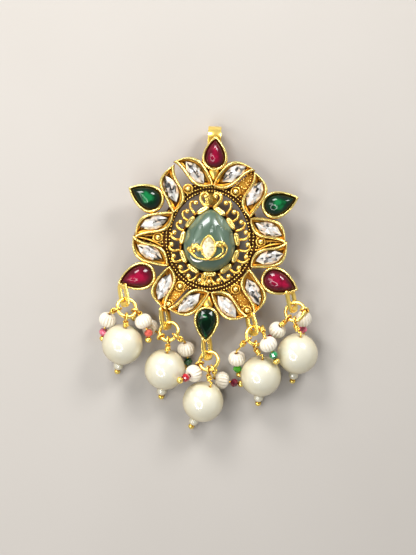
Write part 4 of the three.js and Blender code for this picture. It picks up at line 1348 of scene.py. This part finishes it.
points, faces = faceted(navette(5.2, 3.0, 12), PALE_ROWS)
pale = Shape().add(turn(points, 90) + (LOTUS["x"], LOTUS["y"], COLLET_Z - PALE_SINK), faces)
set_tones(piece("lotus_stone_cut", pale, pale_stone(), ["lotus_stone"], flat=True), PALE_FACET_LIGHTS)

# %% [markdown]
# ## The drops
#
# Each drop hangs on one jump ring: a pearl on a head pin in the middle and a strand at each side, with a
# fluted bead, a small coloured bead and a gold ball. All lie as they fell. The tables give where each
# ring and bead lies; the loops, wound necks and stems are worked out from them.

# %% Where everything in the drops lies

LINK = {"radius": 2.32, "wire": 0.44, "pitch": 21, "roll": 18, "z": 7.3}
PIN = {"loop": 0.95, "wire": 0.25, "neck": 0.5, "coil": 0.22, "gap": 0.3, "wound": 1.3, "winding": 0.38,
       "spare": 0.5, "bend": 0.7}
PEARL_RADIUS = 4.97
PEARL_SLOPE = math.radians(30)
SEED_RADIUS = 1.2
END_BALL = {"pearl": 0.75, "strand": 0.85}
COLOUR_BEAD = 1.12
BEAD_GAP = 0.2
SEED_GAP = 0.15
END_SPACING = 1.7
FLUTED = {"radius": 2.12, "half_length": 1.72, "bore": 0.4, "flutes": 15, "depth": 0.14,
          "pole": 0.2, "end": 0.9}
PEARL_BORE = {"edge": 0.09, "share": 0.75, "end": 0.9}
DROPS = [
    {"link": (-19.2, -17.7), "pearl": (-19.9, -26.65), "toward": (-0.17, -1), "turned": 1},
    {"link": (-8.75, -22.9), "pearl": (-9.35, -32.25), "toward": (-0.1, -1), "turned": -1},
    {"link": (1.2, -29.55), "pearl": (0.25, -39.6), "toward": (-0.4, -1), "turned": -1},
    {"link": (12.1, -22.95), "pearl": (13.95, -32.75), "toward": (-0.03, -1), "turned": 1},
    {"link": (21.35, -16.7), "pearl": (22.55, -26.9), "toward": (-0.1, -1), "turned": -1},
]
STRANDS = [
    {"drop": 1, "side": "left", "at": 200, "leave": 0, "colour": "pink",
     "fluted": (-23.9, -20.95, 3.2), "bead": (-24.85, -24.0, 1.8), "end": (-24.95, -25.7, 1.2)},
    {"drop": 1, "side": "right", "at": -12, "leave": 0, "colour": "coral",
     "fluted": (-15.1, -20.8, 6.0), "bead": (-13.7, -23.6, 5.9), "end": (-13.65, -25.5, 5.4)},
    {"drop": 2, "side": "left", "at": 212, "leave": -90, "colour": "green",
     "fluted": (-13.5, -22.4, 2.2), "bead": (-16.1, -20.9, 1.3), "end": (-17.6, -20.2, 1.0)},
    {"drop": 2, "side": "right", "at": -35, "leave": 0, "colour": "dark_green",
     "fluted": (-4.5, -27.15, 3.6), "bead": (-3.85, -30.2, 2.4), "end": (-4.1, -32.0, 1.5)},
    {"drop": 3, "side": "left", "at": 192, "leave": -90, "colour": "red",
     "fluted": (-2.3, -32.75, 7.0), "bead": (-4.2, -33.75, 9.15), "end": (-5.6, -34.4, 10.0)},
    {"drop": 3, "side": "right", "at": -58, "leave": -90, "colour": "maroon",
     "fluted": (4.6, -34.35, 2.6), "bead": (7.6, -34.85, 2.2), "end": (9.1, -35.05, 1.9)},
    {"drop": 4, "side": "left", "at": 215, "leave": 0, "colour": "bright_green",
     "fluted": (7.95, -28.8, 4.2), "bead": (8.25, -31.35, 2.4), "end": (8.8, -32.85, 1.6)},
    {"drop": 4, "side": "right", "at": 58, "leave": 90, "colour": "green",
     "fluted": (15.2, -24.8, 9.6), "bead": (16.6, -27.35, 8.7), "end": (17.6, -29.3, 8.5)},
    {"drop": 5, "side": "left", "at": 225, "leave": 0, "colour": "red",
     "fluted": (17.4, -21.4, 5.2), "bead": (16.1, -23.5, 3.0), "end": (15.4, -25.2, 2.0)},
    {"drop": 5, "side": "right", "at": 8, "leave": -30, "colour": "pink",
     "fluted": (23.5, -18.4, 5.0), "bead": (23.7, -21.0, 2.6), "end": (23.6, -22.2, 1.0)},
]
print(len(DROPS), "drops with", len(STRANDS), "strands")

# %% Pearl, fluted and coloured bead materials

PEARL_STOPS = [(0.0, (0.70, 0.67, 0.54)), (0.4, (0.64, 0.58, 0.39)), (1.0, (0.54, 0.39, 0.16))]
FLUTED_STOPS = [(0.0, (0.86, 0.80, 0.67)), (0.55, (0.74, 0.65, 0.49)), (1.0, (0.38, 0.27, 0.17))]
BEAD_COLOURS = {
    "pink": (0.62, 0.10, 0.17),
    "coral": (0.75, 0.13, 0.09),
    "red": (0.48, 0.008, 0.02),
    "maroon": (0.20, 0.008, 0.03),
    "green": (0.01, 0.30, 0.10),
    "dark_green": (0.004, 0.085, 0.03),
    "bright_green": (0.09, 0.50, 0.03),
}


def pearl_skin():
    """Cream nacre with painted shade and sheen: browner where it turns away from the view, under a hard clear
    coat.
    """
    finish = Finish("pearl")
    coords = finish.coords()
    # The facing paints shade and sheen: browner towards the rim, where the pearl turns away from the view.
    facing = finish.node("ShaderNodeLayerWeight", {"Blend": 0.35}).outputs["Facing"]
    shade = finish.calc("ADD", facing, finish.cloud(coords, 0.25, 2.0, 0.3), clamp=True)
    return finish.surface({
        "Base Color": finish.ramp(PEARL_STOPS, shade), "Roughness": 0.4, "Specular IOR Level": 0.9,
        "Subsurface Weight": 0.15, "Subsurface Radius": (0.8 * MM, 0.7 * MM, 0.5 * MM),
        "Coat Weight": 1.0, "Coat IOR": 1.9, "Coat Roughness": 0.07})


def fluted_skin():
    """Bone white, with painted shade making it browner in the grooves."""
    finish = Finish("fluted_bead")
    coords = finish.coords()
    groove = finish.attribute("mark")
    shade = finish.calc("ADD", groove, finish.cloud(coords, 2.0, 3.0, 0.4), clamp=True)
    colour = finish.ramp(FLUTED_STOPS, shade)
    return finish.surface({"Base Color": colour, "Roughness": 0.32, "Coat Weight": 0.5})


def bead_glass(name, colour):
    """Cloudy glass, from a darker to a lighter shade of its colour."""
    finish = Finish(f"{name}_bead")
    dark = tuple(channel * 0.35 for channel in colour)
    light = tuple(min(1.0, channel * 1.6 + 0.05) for channel in colour)
    cloudy = finish.ramp([(0.3, dark), (0.55, colour), (0.8, light)], finish.noise(finish.coords(), 0.8, 1.0))
    return finish.surface({"Base Color": cloudy, "Roughness": 0.08, "Coat Weight": 1.0})


PEARL_SKIN = pearl_skin()
FLUTED_SKIN = fluted_skin()
BEAD_GLASS = {name: bead_glass(name, colour) for name, colour in BEAD_COLOURS.items()}
print("bead materials:", PEARL_SKIN.name, FLUTED_SKIN.name, *BEAD_GLASS)

# %% Rings, loops, necks and stems


def ring_axes(number):
    """The jump ring's own axes, a row each: right, up the flower, and out of its plane."""
    roll = LINK["roll"] * DROPS[number - 1]["turned"]
    return turn(turn(np.eye(3), roll, 2, 0), -LINK["pitch"], 1, 2)


def ring_point(number, degrees, radius):
    angle = math.radians(degrees)
    flat = np.array([math.cos(angle), math.sin(angle), 0]) * radius
    return flat @ ring_axes(number) + (*DROPS[number - 1]["link"], LINK["z"])


def jump_ring(number):
    places = [ring_point(number, degrees, LINK["radius"]) for degrees in range(0, 360, 9)]
    return ring_of_wire(places, LINK["wire"], sides=12)


def pin_loop(number, degrees, leave):
    """The pin's loop round the ring's wire, and the point where its neck leaves."""
    centre = ring_point(number, degrees, LINK["radius"])
    out = ring_point(number, degrees, LINK["radius"] + 1) - centre
    up = ring_axes(number)[2]

    def on_loop(angle):
        return centre + PIN["loop"] * (out * math.cos(angle) + up * math.sin(angle))

    loop = ring_of_wire([on_loop(angle) for angle in full_turn(24)], PIN["wire"], up=np.cross(out, up))
    return loop, on_loop(math.radians(leave))


def coil(start, end, turns, steps=10):
    """A wire wound round the straight neck from start to end."""
    axis, aside, third = axes_about(end - start)
    length = np.linalg.norm(end - start)
    route = []
    for step in range(turns * steps + 1):
        angle = 2 * math.pi * step / steps
        place = start + axis * length * step / (turns * steps)
        place = place + PIN["neck"] * (aside * math.cos(angle) + third * math.sin(angle))
        route.append((*place, PIN["coil"]))
    return sweep(with_domes(np.array(route)), circle_section(6), up=axis)


def head_pin(number, degrees, leave, near, middle, end, ball):
    """A loop on the ring, a wound neck, a stem through the beads and a ball that holds them."""
    loop, start = pin_loop(number, degrees, leave)
    straight = near - start
    span = np.linalg.norm(straight)
    ahead = straight / span
    wound = min(PIN["wound"], span - PIN["spare"])
    turns = max(2, round(wound / PIN["winding"]))
    neck = coil(start + PIN["gap"] * ahead, start + (PIN["gap"] + wound) * ahead, turns)
    stem = [(*place, PIN["wire"]) for place in (start, start + PIN["bend"] * straight, near, middle, end)]
    stop = globe(end, ball, sides=16, levels=10, squash=0.9, axis=end - middle)
    return Shape().add(*loop).add(*neck).add(*wire(stem, spans=3, sides=8)).add(*stop)


heights = [ring_point(1, degrees, LINK["radius"])[2] for degrees in range(360)]
print("the middle of a jump ring's wire rises", round(max(heights) - min(heights), 2), "mm")

# %% Drilled beads


def fluted_bead(centre, axis):
    """A melon bead: ribs round a flattened ball, drilled through; its marks, painted shade, are highest in
    the grooves.
    """
    axis, aside, third = axes_about(axis)
    angles = full_turn(FLUTED["flutes"] * 6)
    wave = np.abs(np.sin(angles * FLUTED["flutes"] / 2)) ** 0.6
    rings, marks = [], []
    for level in np.linspace(FLUTED["pole"], math.pi - FLUTED["pole"], 16):
        depth = FLUTED["depth"] * math.sin(level)
        reach = FLUTED["radius"] * math.sin(level) ** 0.8 * (1 - depth * (1 - wave) ** 1.5)
        along = axis * FLUTED["half_length"] * math.cos(level) / math.cos(FLUTED["pole"])
        rings.append(centre - along + hoop(angles, aside, third, reach))
        marks.append((1 - wave) ** 1.3 * 0.6)
    bore = FLUTED["bore"] * hoop(angles, aside, third)
    for way in (1, -1):
        rings.append(centre + axis * way * FLUTED["half_length"] * FLUTED["end"] + bore)
        marks.append(np.ones(len(angles)))
    points, faces = rings_to_skin(rings, closed=True)
    return points, faces, np.concatenate(marks)


def bored_pearl(centre, axis):
    """A round pearl with a drilled hole along its axis."""
    axis, aside, third = axes_about(axis)
    round_ring = hoop(full_turn(64), aside, third)
    edge = PEARL_BORE["edge"]
    rings = [centre - axis * PEARL_RADIUS * math.cos(level) + PEARL_RADIUS * math.sin(level) * round_ring
             for level in np.linspace(edge, math.pi - edge, 40)]
    bore = PEARL_RADIUS * math.sin(edge) * PEARL_BORE["share"]
    rings += [centre + axis * way * PEARL_RADIUS * PEARL_BORE["end"] + bore * round_ring for way in (1, -1)]
    return rings_to_skin(rings, closed=True)


print("a fluted bead is", 2 * FLUTED["radius"], "mm wide, a pearl", 2 * PEARL_RADIUS, "mm")

# %% Rings, pearls and their pins

for number, drop in enumerate(DROPS, start=1):
    piece(f"jump_ring_{number}_wire", Shape().add(*jump_ring(number)), NEW_GOLD,
          [f"jump_ring_{number}"])
    plan = unit(np.array(drop["toward"]))
    axis = np.array([*(plan * math.cos(PEARL_SLOPE)), -math.sin(PEARL_SLOPE)])
    centre = np.array([*drop["pearl"], PEARL_RADIUS])
    pearl = Shape().add(*bored_pearl(centre, axis))
    piece(f"pearl_{number}_skin", pearl, PEARL_SKIN, [f"pearl_{number}"])
    near = centre - axis * (PEARL_RADIUS + BEAD_GAP)
    seed = centre + axis * (PEARL_RADIUS + SEED_RADIUS + SEED_GAP)
    pin = head_pin(number, -90, 0, near, seed, seed + axis * END_SPACING, END_BALL["pearl"])
    piece(f"pearl_pin_{number}_wire", pin, NEW_GOLD, [f"pearl_pin_{number}"])
    seed_pearl = Shape().add(*globe(seed, SEED_RADIUS, squash=0.92, axis=axis))
    piece(f"seed_pearl_{number}", seed_pearl, PEARL_SKIN, [f"pearl_pin_{number}"])

# %% Strands

for strand in STRANDS:
    tag = f"{strand['drop']}_{strand['side']}"
    fluted, bead = np.array(strand["fluted"]), np.array(strand["bead"])
    axis = unit(bead - fluted)
    end = bead + unit(np.array(strand["end"]) - bead) * END_SPACING
    near = fluted - axis * (FLUTED["half_length"] + BEAD_GAP)
    pin = head_pin(strand["drop"], strand["at"], strand["leave"], near, bead, end, END_BALL["strand"])
    piece(f"strand_pin_{tag}_wire", pin, NEW_GOLD, [f"strand_pin_{tag}"])
    ribs = Shape().add(*fluted_bead(fluted, axis))
    piece(f"fluted_bead_{tag}_ribs", ribs, FLUTED_SKIN, [f"fluted_bead_{tag}"])
    rondelle = Shape().add(*globe(bead, COLOUR_BEAD, sides=12, levels=5, squash=0.9, axis=axis))
    piece(f"glass_bead_{tag}", rondelle, BEAD_GLASS[strand["colour"]],
          [f"strand_pin_{tag}"], flat=True)

# %% [markdown]
# ## Floor, light and camera
#
# The brooch lies on a pale floor. Two broad soft boxes stand beyond its head and a fainter one at its
# left, and a ring of small round lamps hangs over its lower left, which puts a ring of lights in each
# pearl. Round it all is a light tent, bright low down and dim overhead, where the camera looks through.
# The camera looks straight down from above, turned slightly.

# %% Floor

FLOOR_STOPS = [(0.0, (0.42, 0.39, 0.355)), (1.0, (0.46, 0.43, 0.395))]


def floor_material():
    finish = Finish("pale_floor")
    colour = finish.ramp(FLOOR_STOPS, finish.noise(finish.coords(), 0.02))
    return finish.surface({"Base Color": colour, "Roughness": 0.7})


floor_mesh = bpy.data.meshes.new("floor")
floor_mesh.from_pydata([(-1, -1, 0), (1, -1, 0), (1, 1, 0), (-1, 1, 0)], [], [[0, 1, 2, 3]])
floor_mesh.materials.append(floor_material())
floor = put("floor", floor_mesh)
print("floor:", floor.name)

# %% Lamps and light tent

RING = {"lamps": 20, "x": -0.13, "y": -0.105, "z": 0.25, "radius": 0.11, "size": 0.024, "power": 0.035}
TENT = [(0.0, (0.80, 0.79, 0.77)), (0.4, (0.90, 0.90, 0.90)), (0.7, (0.28, 0.28, 0.28)),
        (1.0, (0.16, 0.16, 0.16))]
TENT_STRENGTH = 0.72


def soft_box(name, place, aim, size, power, shape="RECTANGLE"):
    """An area lamp that faces a point, in metres and watts."""
    data = bpy.data.lights.new(name, "AREA")
    data.shape = shape
    data.size, data.size_y = size
    data.energy = power
    lamp = put(name, data)
    lamp.location = place
    lamp.rotation_euler = (Vector(aim) - Vector(place)).to_track_quat("-Z", "Y").to_euler()


soft_box("left_box", (-0.12, 0.24, 0.2), (0, 0.01, 0), (0.12, 0.1), 0.95)
soft_box("right_box", (0.16, 0.22, 0.2), (0, 0.01, 0), (0.1, 0.1), 0.85)
soft_box("key_box", (-0.22, 0.05, 0.24), (0, 0, 0), (0.08, 0.14), 0.25)
for lamp in range(RING["lamps"]):
    angle = 2 * math.pi * lamp / RING["lamps"]
    x, y = RING["x"] + RING["radius"] * math.cos(angle), RING["y"] + RING["radius"] * math.sin(angle)
    size = (RING["size"], RING["size"])
    soft_box(f"ring_lamp_{lamp + 1}", (x, y, RING["z"]), (0, 0, 0), size, RING["power"], "DISK")

world = bpy.data.worlds.new("studio")
world.use_nodes = True
tent = Wiring(world.node_tree)
bearing = tent.node("ShaderNodeSeparateXYZ", {"Vector": tent.node("ShaderNodeTexCoord").outputs["Generated"]})
background = tent.nodes["Background"]
tent.feed(background.inputs["Color"], tent.ramp(TENT, bearing.outputs["Z"]))
tent.feed(background.inputs["Strength"], TENT_STRENGTH)
bpy.context.scene.world = world

# %% Camera

CAMERA = {"height": 0.3725, "turn": 2.7, "lens": 100, "sensor": 36, "right": 0.03, "down": 9.5, "raised": 6}
EXPOSURE = -0.3

camera_data = bpy.data.cameras.new("camera")
camera_data.lens = CAMERA["lens"]
camera_data.sensor_fit = "VERTICAL"
camera_data.sensor_height = CAMERA["sensor"]
camera = put("camera", camera_data)
camera.location = (MIDDLE[0] + CAMERA["right"] * MM, MIDDLE[1] - CAMERA["down"] * MM,
                   CAMERA["height"] + CAMERA["raised"] * MM)
camera.rotation_euler = (0, 0, math.radians(CAMERA["turn"]))
scene = bpy.context.scene
scene.camera = camera
scene.view_settings.view_transform = "Standard"
scene.view_settings.exposure = EXPOSURE
print("camera at", [round(value, 4) for value in camera.location])
